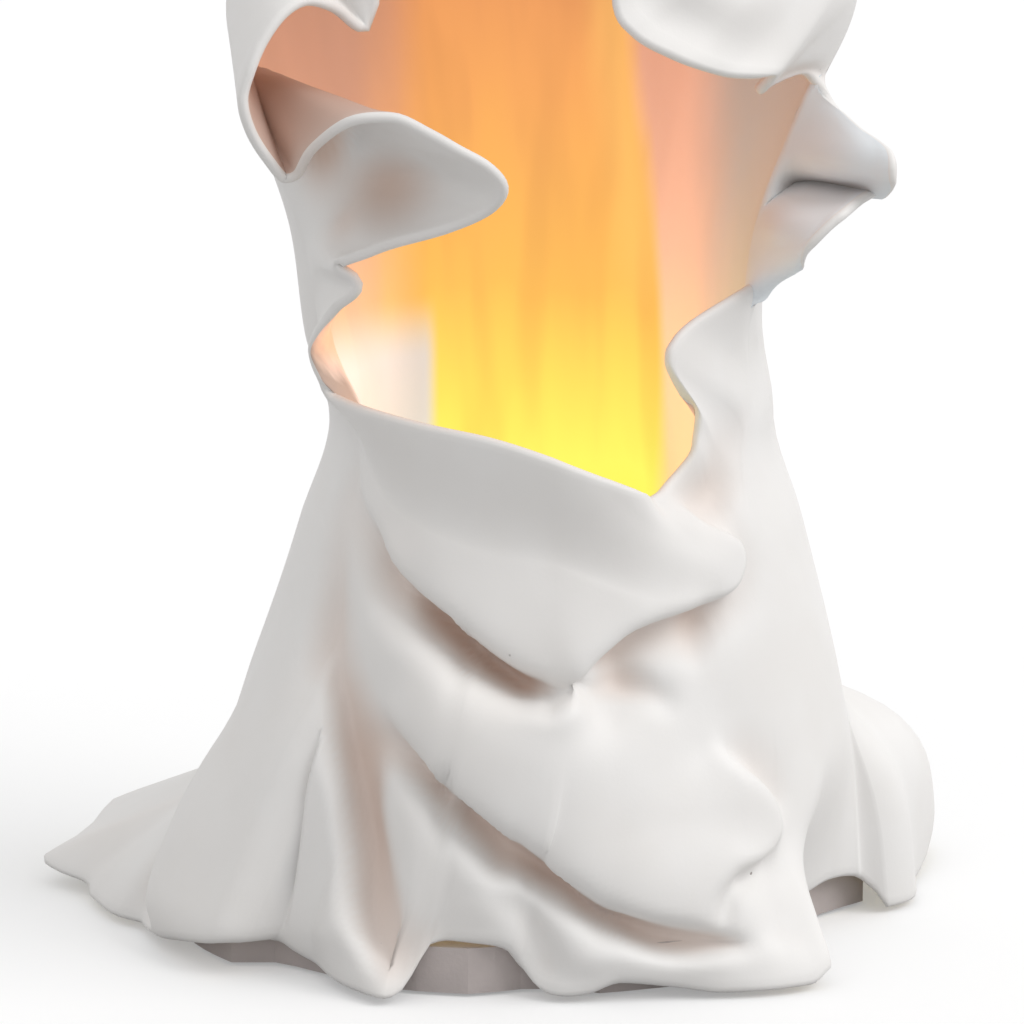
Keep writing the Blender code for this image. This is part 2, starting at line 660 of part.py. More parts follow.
def fold_lift(angle, height, fold):
    """How far one fold lifts the cloth at an angle and height of the body."""
    soft, groove_width, line = fold
    line = smooth_curve(np.linspace(0, len(line) - 1, 5 * len(line)), np.arange(len(line)), line)
    line[:, 0] *= FOLD_DEGREE
    middle = line[:, 0].mean()
    half_turn = 180 * FOLD_DEGREE
    across = np.mod(angle * FOLD_DEGREE - middle + half_turn, 2 * half_turn) + middle - half_turn
    nearest = np.full(across.shape, np.inf)
    total = np.zeros(across.shape)
    sums = np.zeros((4, *across.shape))
    for start, end in zip(line[:-1], line[1:]):
        run = (end - start)[:2]
        length = np.linalg.norm(run)
        right, rise = across - start[0], height - start[1]
        t = np.clip((right * run[0] + rise * run[1]) / length**2, 0, 1)
        right, rise = right - t * run[0], rise - t * run[1]
        distance = np.hypot(right, rise)
        nearest = np.minimum(nearest, distance)
        weight = (distance**2 + FOLD_BLEND) ** -3
        total += weight
        side = (run[0] * rise - run[1] * right) / (length * distance + 1e-6)
        here = start[2:, None, None] + t * (end - start)[2:, None, None]
        sums += weight * np.concatenate([side[None], here])
    side, lift, drop, groove = sums / total
    if soft == 0:
        return -groove * np.exp(-((nearest / groove_width) ** 2))
    drop = np.maximum(drop, FOLD_LEAST_DROP)
    raised = ease((side + 1) / 2)
    fallen = ease(nearest / drop)
    past = np.maximum(nearest - drop, 0) / groove_width
    dropped = lift * (1 - fallen) - groove * fallen * np.exp(-(past**2))
    return raised * lift * np.exp(-((nearest / soft) ** 2)) + (1 - raised) * dropped


def folded_cloak(front_spacing, side_spacing, body_rows, lapel_rows):
    """The cloak's outer surface with its folds, centred on the origin, its wall's lower edge off the ground."""
    places = opening_columns(front_spacing, side_spacing)
    surface = plain_cloak(places, body_rows, lapel_rows)
    waist_angle = opening_at(places)[0]
    height = surface[..., 2]
    angle = waist_angle + 0 * height
    lift = sum(fold_lift(angle, height, fold) for fold in FOLDS) * ease(height / FOLD_FADE_TOP)
    surface += outward(surface) * lift[..., None]
    near_hem = np.clip(1 - np.arange(len(surface)) / body_rows, 0, 1) ** HEM_STEEPNESS
    hem_height = surface[0, :, 2] + GROUND_GAP
    for _ in range(HEM_PASSES):
        inner_edge = surface[0, :, 2] - WALL * outward(surface)[0, :, 2]
        surface[..., 2] += np.maximum(hem_height - inner_edge, 0) * near_hem[:, None]
    plan = surface[..., :2].reshape(-1, 2)
    surface[..., :2] -= (plan.min(axis=0) + plan.max(axis=0)) / 2
    return surface


def cloak_shell(surface):
    """The one-piece resin casting: the folded surface, thickened inwards."""
    rows, columns = surface.shape[0] - 1, surface.shape[1] - 1
    shape = bmesh.new()
    bmesh.ops.create_grid(shape, x_segments=columns, y_segments=rows, size=1)
    for vert, point in zip(shape.verts, surface.reshape(-1, 3)):
        vert.co = point
    bmesh.ops.remove_doubles(shape, verts=shape.verts, dist=0.001)
    shell = piece("cloak_shell", shape, "resin", sharp=80)
    wall = shell.modifiers.new("wall", "SOLIDIFY")
    wall.thickness = WALL * MM
    wall.offset = -1


def plate_edge(surface):
    """The base plate's edge points: the cloak's inner wall near the ground, less a fit, without the lobes."""
    _, centre_x, centre_y, half_width, half_depth = SECTIONS[0]
    inner = surface - outward(surface) * (WALL + PLATE_FIT)
    steps = (0, 0.25, 0.5, 0.75)
    inner = np.concatenate([inner[:, 1:] * (1 - step) + inner[:, :-1] * step for step in steps], 1)
    inner = np.stack([inner[:-1] * (1 - step) + inner[1:] * step for step in steps])
    low = inner[..., 2] < plate_top + WALL
    low[0, 0] = True
    across = (inner[low][:, 0] - centre_x) / half_width
    forward = (centre_y - inner[low][:, 1]) / half_depth
    wall_turn = np.arctan2(across, forward)
    wall_reach = np.hypot(across, forward)
    edge = []
    full_turn = 2 * math.pi
    for side in range(PLATE_SIDES):
        turn = full_turn * side / PLATE_SIDES
        beside = np.abs((wall_turn - turn + math.pi) % full_turn - math.pi) < full_turn / PLATE_SIDES
        reach = min(PLATE_REACH, wall_reach[beside].min())
        x = centre_x + half_width * reach * math.sin(turn)
        edge.append(Vector((x, centre_y - half_depth * reach * math.cos(turn))))
    return edge


def box_screw_places():
    """Where the four screws go up through the flange's corners."""
    x = box_half_width + FLANGE_WIDTH / 2
    return [(BOX_X + side * x, y) for side in (-1, 1) for y in (box_front, box_end)]


def riser_screw_places():
    """Where the two screws hold the riser's foot to the box."""
    radius = RISER_RADIUS + RISER_FOOT_WIDTH / 2
    return [(BOX_X, -radius), (BOX_X, radius)]


def outline_block(edge, bottom, top):
    """An upright block over the base plate's edge points."""
    shape = add_rod(bmesh.new(), (0, 0), 1, bottom, top, sides=PLATE_SIDES)
    for vert in shape.verts:
        turn = math.atan2(vert.co.x, -vert.co.y) / (2 * math.pi)
        vert.co.xy = edge[round(turn * PLATE_SIDES) % PLATE_SIDES]
    return shape


def base_plate(surface):
    """The plate that closes the hem, with its skirt, cut out for the box, its switch and the screws."""
    edge = plate_edge(surface)
    centre = Vector(SECTIONS[0][1:3])
    inner_edge = [point - (point - centre).normalized() * SKIRT_WIDTH for point in edge]
    plate = piece("base_plate", outline_block(edge, SKIRT_GAP, plate_top), "resin")
    recess = outline_block(inner_edge, SKIRT_GAP - 1, plate_bottom)
    combine(plate, cutter("plate_recess", recess), "DIFFERENCE")
    low, high = plate_bottom - 1, plate_top + 1
    holes = bmesh.new()
    half = box_half_width + CLEARANCE
    add_block(holes, (BOX_X - half, box_front - CLEARANCE, low), (BOX_X + half, box_end + CLEARANCE, high))
    half, length = SWITCH_WIDTH / 2 + CLEARANCE, SWITCH_LENGTH / 2 + CLEARANCE
    add_block(holes, (switch_x - half, -length, low), (switch_x + half, length, high))
    for centre in box_screw_places():
        add_rod(holes, centre, SCREW_RADIUS + CLEARANCE, low, high, sides=16)
    combine(plate, cutter("plate_holes", holes), "DIFFERENCE")


def feet():
    """Rubber feet, glued under the plate."""
    for number, centre in enumerate(FEET, start=1):
        foot = add_rod(bmesh.new(), centre, FOOT_DIAMETER / 2, 0, FOOT_HEIGHT, sides=28)
        piece(f"foot_{number}", foot, "rubber")


def battery_box():
    """The box with its flange, open below: cell cavity, door recess, screw bores, pin bore, switch slot."""
    body = bmesh.new()
    low = (BOX_X - box_half_width, box_front, flange_bottom)
    high = (BOX_X + box_half_width, box_end, box_top)
    add_block(body, low, high, corner=BOX_CORNER)
    box = piece("battery_box", body, "black plastic")
    flange = bmesh.new()
    reach = box_half_width + FLANGE_WIDTH
    low = (BOX_X - reach, box_front - FLANGE_WIDTH, flange_bottom)
    high = (BOX_X + reach, box_end + FLANGE_WIDTH, flange_top)
    add_block(flange, low, high, corner=FLANGE_CORNER)
    combine(box, cutter("box_flange", flange), "UNION")
    hollow = bmesh.new()
    low = (BOX_X - cavity_half_width, -cavity_half_length, flange_bottom - 1)
    high = (BOX_X + cavity_half_width, cavity_half_length, box_roof)
    add_block(hollow, low, high)
    combine(box, cutter("cell_cavity", hollow), "DIFFERENCE")
    recess = bmesh.new()
    low = (BOX_X - cavity_half_width, 0, flange_bottom - 1)
    high = (BOX_X + cavity_half_width, door_end, door_top + CLEARANCE)
    add_block(recess, low, high)
    combine(box, cutter("door_recess", recess), "DIFFERENCE")
    bores = bmesh.new()
    add_rod(
        bores, (BOX_X, door_screw_y), SCREW_RADIUS + DOOR_SCREW_PLAY, door_top - 1,
        door_top + SCREW_LENGTH + CLEARANCE,
    )
    for centre in box_screw_places():
        add_rod(bores, centre, SCREW_RADIUS + CLEARANCE, flange_bottom - 1, flange_top + 1, sides=16)
    for centre in riser_screw_places():
        add_rod(bores, centre, SCREW_RADIUS + CLEARANCE, box_roof - 1, box_top + 1, sides=16)
    length = 2 * (cavity_half_width + PIN_SEAT + CLEARANCE)
    add_cross_rod(bores, (BOX_X, hinge_y, hinge_z), PIN_RADIUS + CLEARANCE, length)
    half, length = SLIDER_WIDTH / 2 + CLEARANCE, SLIDER_LENGTH / 2 + SLIDER_TRAVEL + CLEARANCE
    add_block(bores, (switch_x - half, -length, flange_bottom - 1), (switch_x + half, length, flange_top + 1))
    combine(box, cutter("box_bores", bores), "DIFFERENCE")


def battery_door():
    """The door, with knuckles that lie between the cells and a sunk hole for its screw."""
    half = cavity_half_width - CLEARANCE
    slab = bmesh.new()
    edge = hinge_y + KNUCKLE_RADIUS + CLEARANCE
    add_block(slab, (BOX_X - half, edge, flange_bottom), (BOX_X + half, door_end - CLEARANCE, door_top))
    door = piece("battery_door", slab, "black plastic", origin=(BOX_X, hinge_y, hinge_z))
    for number, side in enumerate((-0.5, 0.5), start=1):
        x = BOX_X + side * cell_pitch
        arm = bmesh.new()
        low = (x - KNUCKLE_WIDTH / 2, hinge_y, flange_bottom)
        add_block(arm, low, (x + KNUCKLE_WIDTH / 2, edge + 1, door_top))
        combine(door, cutter(f"door_arm_{number}", arm), "UNION")
        knuckle = add_cross_rod(bmesh.new(), (x, hinge_y, hinge_z), KNUCKLE_RADIUS, KNUCKLE_WIDTH, sides=24)
        combine(door, cutter(f"door_knuckle_{number}", knuckle), "UNION")
    bores = bmesh.new()
    add_cross_rod(bores, (BOX_X, hinge_y, hinge_z), PIN_RADIUS + CLEARANCE, 2 * cavity_half_width)
    place = (BOX_X, door_screw_y)
    add_rod(bores, place, SCREW_RADIUS + CLEARANCE, flange_bottom + SCREW_HEAD_HEIGHT, door_top + 1)
    combine(door, cutter("door_bores", bores), "DIFFERENCE")
    sink = bmesh.new()
    radius = SCREW_HEAD_RADIUS + CLEARANCE
    add_rod(sink, place, radius, flange_bottom - 1, flange_bottom + SCREW_HEAD_HEIGHT + CLEARANCE, sides=24)
    combine(door, cutter("door_screw_sink", sink), "DIFFERENCE")
    return door


def screw(name, place, head_bottom, tip, head_down=True):
    """A cross-slot screw whose head is at head_bottom and whose shank ends at tip."""
    head_top = head_bottom + SCREW_HEAD_HEIGHT
    if head_down:
        profile = (
            (0, tip), (SCREW_RADIUS, tip), (SCREW_RADIUS, head_top), (SCREW_HEAD_RADIUS, head_top),
            (SCREW_HEAD_RADIUS, head_bottom), (0, head_bottom),
        )
        low, high = head_bottom - 1, head_bottom + SCREW_SLOT
    else:
        profile = (
            (0, head_top), (SCREW_HEAD_RADIUS, head_top), (SCREW_HEAD_RADIUS, head_bottom),
            (SCREW_RADIUS, head_bottom), (SCREW_RADIUS, tip), (0, tip),
        )
        low, high = head_top - SCREW_SLOT, head_top + 1
    made = turned(name, profile, "steel", (*place, 0), sides=12)
    x, y = place
    reach, half = SCREW_SLOT_LENGTH / 2, SCREW_SLOT / 2
    slot = bmesh.new()
    add_block(slot, (x - reach, y - half, low), (x + reach, y + half, high))
    combine(made, cutter(f"{name}_slot_across", slot), "DIFFERENCE")
    slot = bmesh.new()
    add_block(slot, (x - half, y - reach, low), (x + half, y + reach, high))
    combine(made, cutter(f"{name}_slot_along", slot), "DIFFERENCE")
    return made


def screws(door):
    """All screws. The door's own screw turns in the door and goes with it."""
    for number, place in enumerate(box_screw_places(), start=1):
        head_bottom = flange_bottom - CLEARANCE - SCREW_HEAD_HEIGHT
        screw(f"box_screw_{number}", place, head_bottom, plate_top - CLEARANCE)
    for number, place in enumerate(riser_screw_places(), start=1):
        head_bottom = riser_bottom + RISER_FOOT_THICKNESS + CLEARANCE
        screw(f"riser_screw_{number}", place, head_bottom, box_roof + CLEARANCE, head_down=False)
    made = screw("door_screw", (BOX_X, door_screw_y), flange_bottom, door_top + SCREW_LENGTH)
    made.parent = door
    made.matrix_parent_inverse = Matrix.Translation(door.location).inverted()


def hinge_pin():
    """The door's pin, held in the box's side walls."""
    length = 2 * (cavity_half_width + PIN_SEAT)
    pin = add_cross_rod(bmesh.new(), (BOX_X, hinge_y, hinge_z), PIN_RADIUS, length)
    piece("hinge_pin", pin, "steel")


def batteries():
    """The cells with a spring at each flat end and a contact plate at each nub."""
    nub_end = cavity_half_length - 2 * CLEARANCE - CONTACT_THICKNESS
    flat_end = nub_end - CELL_LENGTH - CELL_NUB_LENGTH
    length = CELL_LENGTH + CELL_NUB_LENGTH
    profile = (
        (0, length), (CELL_NUB_DIAMETER / 2, length), (CELL_NUB_DIAMETER / 2, CELL_LENGTH),
        (CELL_DIAMETER / 2, CELL_LENGTH), (CELL_DIAMETER / 2, 0), (0, 0),
    )
    for index in range(CELLS):
        x = BOX_X + (index - (CELLS - 1) / 2) * cell_pitch
        way = -1 if index % 2 else 1
        cell = turned(f"battery_{index + 1}", profile, "cell sleeve", (x, way * flat_end, cell_axis), sides=28)
        cell.rotation_euler.x = -way * math.pi / 2
        plate = bmesh.new()
        near, far = sorted((way * (cavity_half_length - CLEARANCE), way * (nub_end + CLEARANCE)))
        half = CONTACT_WIDTH / 2
        add_block(plate, (x - half, near, cell_axis - half), (x + half, far, cell_axis + half))
        piece(f"contact_{index + 1}", plate, "steel")
        start = -(cavity_half_length - CLEARANCE - SPRING_WIRE)
        end = flat_end - CLEARANCE - SPRING_WIRE
        points = []
        for step in range(SPRING_TURNS * SPRING_POINTS + 1):
            share = step / (SPRING_TURNS * SPRING_POINTS)
            radius = SPRING_RADIUS + (SPRING_TIP_RADIUS - SPRING_RADIUS) * share
            turn = 2 * math.pi * SPRING_TURNS * share
            y = start + (end - start) * share
            points.append((x + radius * math.cos(turn), way * y, cell_axis + radius * math.sin(turn)))
        wire(f"spring_{index + 1}", points, SPRING_WIRE / 2, "steel", bevel_resolution=1)


def slide_switch():
    """The switch over its slot in the flange, and its slider, which pokes out below."""
    x = switch_x
    body = bmesh.new()
    bottom = flange_top + CLEARANCE
    low = (x - SWITCH_WIDTH / 2, -SWITCH_LENGTH / 2, bottom)
    add_block(body, low, (x + SWITCH_WIDTH / 2, SWITCH_LENGTH / 2, bottom + SWITCH_HEIGHT))
    switch = piece("switch_body", body, "steel")
    channel = bmesh.new()
    half, length = SLIDER_WIDTH / 2 + CLEARANCE, SLIDER_LENGTH / 2 + SLIDER_TRAVEL + CLEARANCE
    top = bottom + SLIDER_DEPTH
    add_block(channel, (x - half, -length, bottom - 1), (x + half, length, top + CLEARANCE))
    combine(switch, cutter("switch_channel", channel), "DIFFERENCE")
    slider = bmesh.new()
    half, length = SLIDER_WIDTH / 2, SLIDER_LENGTH / 2
    add_block(slider, (x - half, -length, flange_bottom - SLIDER_PROUD), (x + half, length, top))
    piece("switch_slider", slider, "white plastic", origin=(x, 0, flange_bottom))


def lamp_riser():
    """The tube that carries the lamp: a foot on the box and a ledge for the light board."""
    bore = RISER_RADIUS - RISER_WALL
    foot_radius = RISER_RADIUS + RISER_FOOT_WIDTH
    foot_top = riser_bottom + RISER_FOOT_THICKNESS
    profile = (
        (RISER_RADIUS, riser_top), (RISER_RADIUS, foot_top), (foot_radius, foot_top),
        (foot_radius, riser_bottom), (bore, riser_bottom), (bore, ledge_top - LEDGE_THICKNESS),
        (bore - LEDGE_WIDTH, ledge_top - LEDGE_THICKNESS), (bore - LEDGE_WIDTH, ledge_top),
        (bore, ledge_top), (bore, riser_top),
    )
    riser = turned("lamp_riser", profile, "white plastic", (BOX_X, 0, 0), sides=LAMP_SIDES)
    holes = bmesh.new()
    for centre in riser_screw_places():
        add_rod(holes, centre, SCREW_RADIUS + CLEARANCE, riser_bottom - 1, foot_top + 1, sides=16)
    combine(riser, cutter("riser_holes", holes), "DIFFERENCE")


def light_board():
    """The round board on the riser's ledge with its bulbs."""
    radius = RISER_RADIUS - RISER_WALL - CLEARANCE
    top = board_bottom + BOARD_THICKNESS
    profile = ((0, top), (radius, top), (radius, board_bottom), (0, board_bottom))
    turned("light_board", profile, "circuit board", (BOX_X, 0, 0), sides=LAMP_SIDES)
    straight = BULB_HEIGHT - BULB_RADIUS
    arc = [math.pi / 2 * step / 5 for step in range(6)]
    profile = [(BULB_RADIUS * math.sin(turn), straight + BULB_RADIUS * math.cos(turn)) for turn in arc]
    profile[0] = (0, BULB_HEIGHT)
    rim_radius = BULB_RADIUS + BULB_RIM / 2
    profile += [(BULB_RADIUS, BULB_RIM), (rim_radius, BULB_RIM), (rim_radius, 0), (0, 0)]
    for index in range(BULBS):
        turn = 2 * math.pi * index / BULBS - math.pi / 2
        place = (BOX_X + BULB_CIRCLE * math.cos(turn), BULB_CIRCLE * math.sin(turn), top + CLEARANCE)
        turned(f"bulb_{index + 1}", profile, "bulb", place, sides=12)


def lamp_dome():
    """The frosted dome over the bulbs, and the ring that holds its lip down."""
    lip_radius = RISER_RADIUS - RISER_WALL - CLEARANCE
    outer = lip_radius - DOME_LIP
    inner = outer - DOME_WALL
    lip_top = dome_bottom + DOME_LIP_THICKNESS
    arc = [math.pi / 2 * step / DOME_STEPS for step in range(DOME_STEPS + 1)]
    outside = [(outer * math.sin(turn), lip_top + DOME_HEIGHT * math.cos(turn)) for turn in arc]
    inside = [(inner * math.sin(turn), lip_top + (DOME_HEIGHT - DOME_WALL) * math.cos(turn)) for turn in arc]
    outside[0], inside[0] = (0, lip_top + DOME_HEIGHT), (0, lip_top + DOME_HEIGHT - DOME_WALL)
    lip = [(lip_radius, lip_top), (lip_radius, dome_bottom), (inner, dome_bottom)]
    turned("lamp_dome", outside + lip + inside[::-1], "frosted plastic", (BOX_X, 0, 0), sides=LAMP_SIDES)
    bottom = riser_top + CLEARANCE
    top = bottom + RING_THICKNESS
    hole = outer + CLEARANCE
    ring = ((RISER_RADIUS, top), (RISER_RADIUS, bottom), (hole, bottom), (hole, top))
    turned("dome_ring", ring, "white plastic", (BOX_X, 0, 0), sides=LAMP_SIDES)


def timer():
    """The small board inside the riser that makes the light flicker, and its two leads up to the bulbs."""
    width, length = TIMER_BOARD_SIZE
    bottom = box_top + CLEARANCE
    top = bottom + BOARD_THICKNESS
    board = bmesh.new()
    add_block(board, (BOX_X - width / 2, -length / 2, bottom), (BOX_X + width / 2, length / 2, top))
    piece("timer_board", board, "circuit board")
    chip = bmesh.new()
    chip_width, chip_length, chip_height = CHIP_SIZE
    low = (BOX_X - width / 4 - chip_width / 2, -chip_length / 2, top + CLEARANCE)
    add_block(chip, low, (low[0] + chip_width, chip_length / 2, top + CLEARANCE + chip_height))
    piece("timer_chip", chip, "black plastic")
    place = (BOX_X + width / 4, length / 4)
    bottom = top + CLEARANCE
    can = add_rod(bmesh.new(), place, CAPACITOR_RADIUS, bottom, bottom + CAPACITOR_HEIGHT)
    piece("capacitor", can, "black plastic")
    end = board_bottom - CLEARANCE
    for side, name in ((-1, "black_lead"), (1, "red_lead")):
        points = []
        for step in range(LEAD_POINTS + 1):
            share = step / LEAD_POINTS
            sway = LEAD_SWAY * math.sin(math.pi * share) ** 2
            x = BOX_X + side * (LEAD_SPACING / 2 + sway)
            points.append((x, -length / 4 - sway, bottom + (end - bottom) * share))
        wire(name, points, LEAD_RADIUS, f"{name[:-5]} lead")


for old in list(bpy.data.objects):
    bpy.data.objects.remove(old)
statue = collection("light_up_ghost_statue")
cutters = collection("cutters")
cloak = folded_cloak(FRONT_SPACING, SIDE_SPACING, BODY_ROWS, LAPEL_ROWS)
cloak_shell(cloak)
base_plate(cloak)
feet()
battery_box()
hinge_pin()
screws(battery_door())
batteries()
slide_switch()
lamp_riser()
light_board()
lamp_dome()
timer()
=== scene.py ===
"""The light-up ghost statue, dressed over its CAD frame: resin cloak, lamp, battery box and base.

Sizes in the sections are in millimetres, and are turned into metres where a mesh is made.
"""

import math

import bmesh
import bpy
import numpy as np
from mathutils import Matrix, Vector
from mathutils.bvhtree import BVHTree


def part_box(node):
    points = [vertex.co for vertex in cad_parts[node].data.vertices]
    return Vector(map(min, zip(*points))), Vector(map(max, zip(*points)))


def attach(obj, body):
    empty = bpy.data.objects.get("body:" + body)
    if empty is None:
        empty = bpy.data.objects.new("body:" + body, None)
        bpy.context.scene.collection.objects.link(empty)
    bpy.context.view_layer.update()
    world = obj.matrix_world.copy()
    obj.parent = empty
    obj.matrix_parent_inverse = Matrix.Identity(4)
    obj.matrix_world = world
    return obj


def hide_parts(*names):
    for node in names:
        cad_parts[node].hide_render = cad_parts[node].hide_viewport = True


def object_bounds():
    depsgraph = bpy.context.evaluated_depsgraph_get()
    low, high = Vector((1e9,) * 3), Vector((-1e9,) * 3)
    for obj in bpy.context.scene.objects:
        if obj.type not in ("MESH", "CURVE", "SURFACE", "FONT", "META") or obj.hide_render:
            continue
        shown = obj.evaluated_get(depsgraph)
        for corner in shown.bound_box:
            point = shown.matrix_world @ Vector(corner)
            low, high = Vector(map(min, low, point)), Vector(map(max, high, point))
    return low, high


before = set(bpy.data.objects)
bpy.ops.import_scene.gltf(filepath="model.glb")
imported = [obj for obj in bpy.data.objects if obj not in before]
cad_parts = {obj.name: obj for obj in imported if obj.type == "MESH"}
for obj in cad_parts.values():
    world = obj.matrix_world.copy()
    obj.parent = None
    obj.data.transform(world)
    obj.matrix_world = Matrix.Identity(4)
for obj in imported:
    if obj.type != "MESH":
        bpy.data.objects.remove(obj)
cad_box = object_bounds()
MM = 0.001


# Camera
# The photograph looks straight at the statue's front from a little above it, with a long lens, and
# crops the hood and the right wing's top.
def look_from(thing, azimuth, elevation, distance, target):
    """Puts a camera or lamp at a distance from a target, looking at it."""
    turn, climb = math.radians(azimuth), math.radians(elevation)
    back = Vector((math.sin(turn) * math.cos(climb), -math.cos(turn) * math.cos(climb), math.sin(climb)))
    thing.location = Vector(target) + back * distance
    thing.rotation_mode = "QUATERNION"
    thing.rotation_quaternion = back.to_track_quat("Z", "Y")
    bpy.context.scene.collection.objects.link(thing)


lens = bpy.data.cameras.new("photo_camera")
lens.sensor_width = 36
lens.lens = 181.8
lens.clip_start = 0.01
camera = bpy.data.objects.new("photo_camera", lens)
look_from(camera, 0, 13, 1.5, (0.0061, 0, 0.121))
bpy.context.scene.camera = camera
bpy.context.scene.view_settings.view_transform = "Standard"


# Studio
# White paper floor under a white sky, with one large soft lamp high on the right. Seen directly, or in a
# reflection, paper and sky are near white, and the paper still shows the statue's shadow.
def new_material(name):
    """A material with nodes, and its main shader."""
    made = bpy.data.materials.new(name)
    made.use_nodes = True
    return made, made.node_tree.nodes["Principled BSDF"]


def add_node(tree, kind, **settings):
    """A new node, with its properties and its unlinked inputs set by name."""
    made = tree.nodes.new(kind)
    for name, value in settings.items():
        if hasattr(made, name):
            setattr(made, name, value)
        else:
            made.inputs[name.replace("_", " ")].default_value = value
    return made


def seen_directly(tree):
    """1 for rays from the camera, and for those that metal and glass reflect or let through."""
    path = add_node(tree, "ShaderNodeLightPath")
    total = path.outputs["Is Camera Ray"]
    for name in ("Is Glossy Ray", "Is Transmission Ray"):
        total = combined(tree, "MAXIMUM", total, path.outputs[name])
    return total


def smooth_step(tree, value, low, high, first=0.0, last=1.0):
    """A smooth change from first to last while the value goes from low to high."""
    made = add_node(tree, "ShaderNodeMapRange", interpolation_type="SMOOTHSTEP")
    for name, number in zip(("From Min", "From Max", "To Min", "To Max"), (low, high, first, last)):
        made.inputs[name].default_value = number
    tree.links.new(value, made.inputs["Value"])
    return made.outputs["Result"]


def combined(tree, operation, first, second):
    """A maths node over two sockets, or over a socket and a number."""
    made = add_node(tree, "ShaderNodeMath", operation=operation)
    for place_number, value in enumerate((first, second)):
        if isinstance(value, (int, float)):
            made.inputs[place_number].default_value = value
        else:
            tree.links.new(value, made.inputs[place_number])
    return made.outputs["Value"]


def mixed(tree, share, first, second, blend="MIX"):
    """A colour between two colours, which are sockets or values."""
    made = add_node(tree, "ShaderNodeMix", data_type="RGBA", blend_type=blend)
    for name, value in (("Factor", share), ("A", first), ("B", second)):
        wanted = [put for put in made.inputs if put.name == name and put.enabled][0]
        if isinstance(value, (int, float, tuple)):
            wanted.default_value = value
        else:
            tree.links.new(value, wanted)
    return [put for put in made.outputs if put.enabled][0]


paper, paper_shader = new_material("white_paper")
paper_tree = paper.node_tree
direct = seen_directly(paper_tree)
paper_white = mixed(paper_tree, direct, (0.45, 0.45, 0.45, 1), (0.93, 0.93, 0.93, 1))
paper_tree.links.new(paper_white, paper_shader.inputs["Base Color"])
paper_shader.inputs["Roughness"].default_value = 0.9
paper_shader.inputs["Specular IOR Level"].default_value = 0.1
paper_glow = add_node(paper_tree, "ShaderNodeEmission", Strength=1.0)
paper_mix = add_node(paper_tree, "ShaderNodeMixShader")
paper_tree.links.new(combined(paper_tree, "MULTIPLY", direct, 0.3), paper_mix.inputs["Fac"])
paper_tree.links.new(paper_shader.outputs["BSDF"], paper_mix.inputs[1])
paper_tree.links.new(paper_glow.outputs["Emission"], paper_mix.inputs[2])
paper_tree.links.new(paper_mix.outputs["Shader"], paper_tree.nodes["Material Output"].inputs["Surface"])
ground = bmesh.new()
bmesh.ops.create_grid(ground, x_segments=1, y_segments=1, size=4)
ground_mesh = bpy.data.meshes.new("floor")
ground.to_mesh(ground_mesh)
ground.free()
ground_mesh.materials.append(paper)
floor = bpy.data.objects.new("floor", ground_mesh)
bpy.context.scene.collection.objects.link(floor)

sky = bpy.data.worlds.new("studio")
sky.use_nodes = True
bpy.context.scene.world = sky
backdrop = sky.node_tree.nodes["Background"]
backdrop.inputs["Color"].default_value = (1, 1, 1, 1)
strength = add_node(sky.node_tree, "ShaderNodeMapRange")
strength.inputs["To Min"].default_value = 0.82
strength.inputs["To Max"].default_value = 1.0
sky.node_tree.links.new(seen_directly(sky.node_tree), strength.inputs["Value"])
sky.node_tree.links.new(strength.outputs["Result"], backdrop.inputs["Strength"])

lamp = bpy.data.lights.new("key", "SUN")
lamp.energy = 1.3
lamp.angle = math.radians(40)
look_from(bpy.data.objects.new("key", lamp), 72, 42, 2, (0, 0, 0.1))


# Cloak
# One hollow casting in white resin, 3 mm thick, of a hooded cloak with nobody in it. It is open down
# the front, where its edges roll out into ruffles, and its hem swirls out over the ground.
WALL = 3.0
GROUND_GAP = 1.7
HOOD_TOP = 450.0
HOOD_RADIUS = 60.0

# height, centre x, centre y, half width and half depth of the body
SECTIONS = (
    (0, 8.5, 0, 104, 90),
    (60, 17, 0, 90, 73),
    (120, 20, 1, 72.5, 60),
    (150, 20, 2, 63.5, 54),
    (175, 14.5, 2, 65, 54),
    (205, 13.5, 3, 68, 56),
    (240, 14, 5, 80, 60),
    (270, 17.5, 8, 89.5, 62),
    (295, 19, 11, 90, 60),
    (320, 12, 13, 72, 56),
    (345, 10, 14, 58, 55),
    (375, 10, 14, 60, 59),
    (390, 10, 14, 60, 60),
)

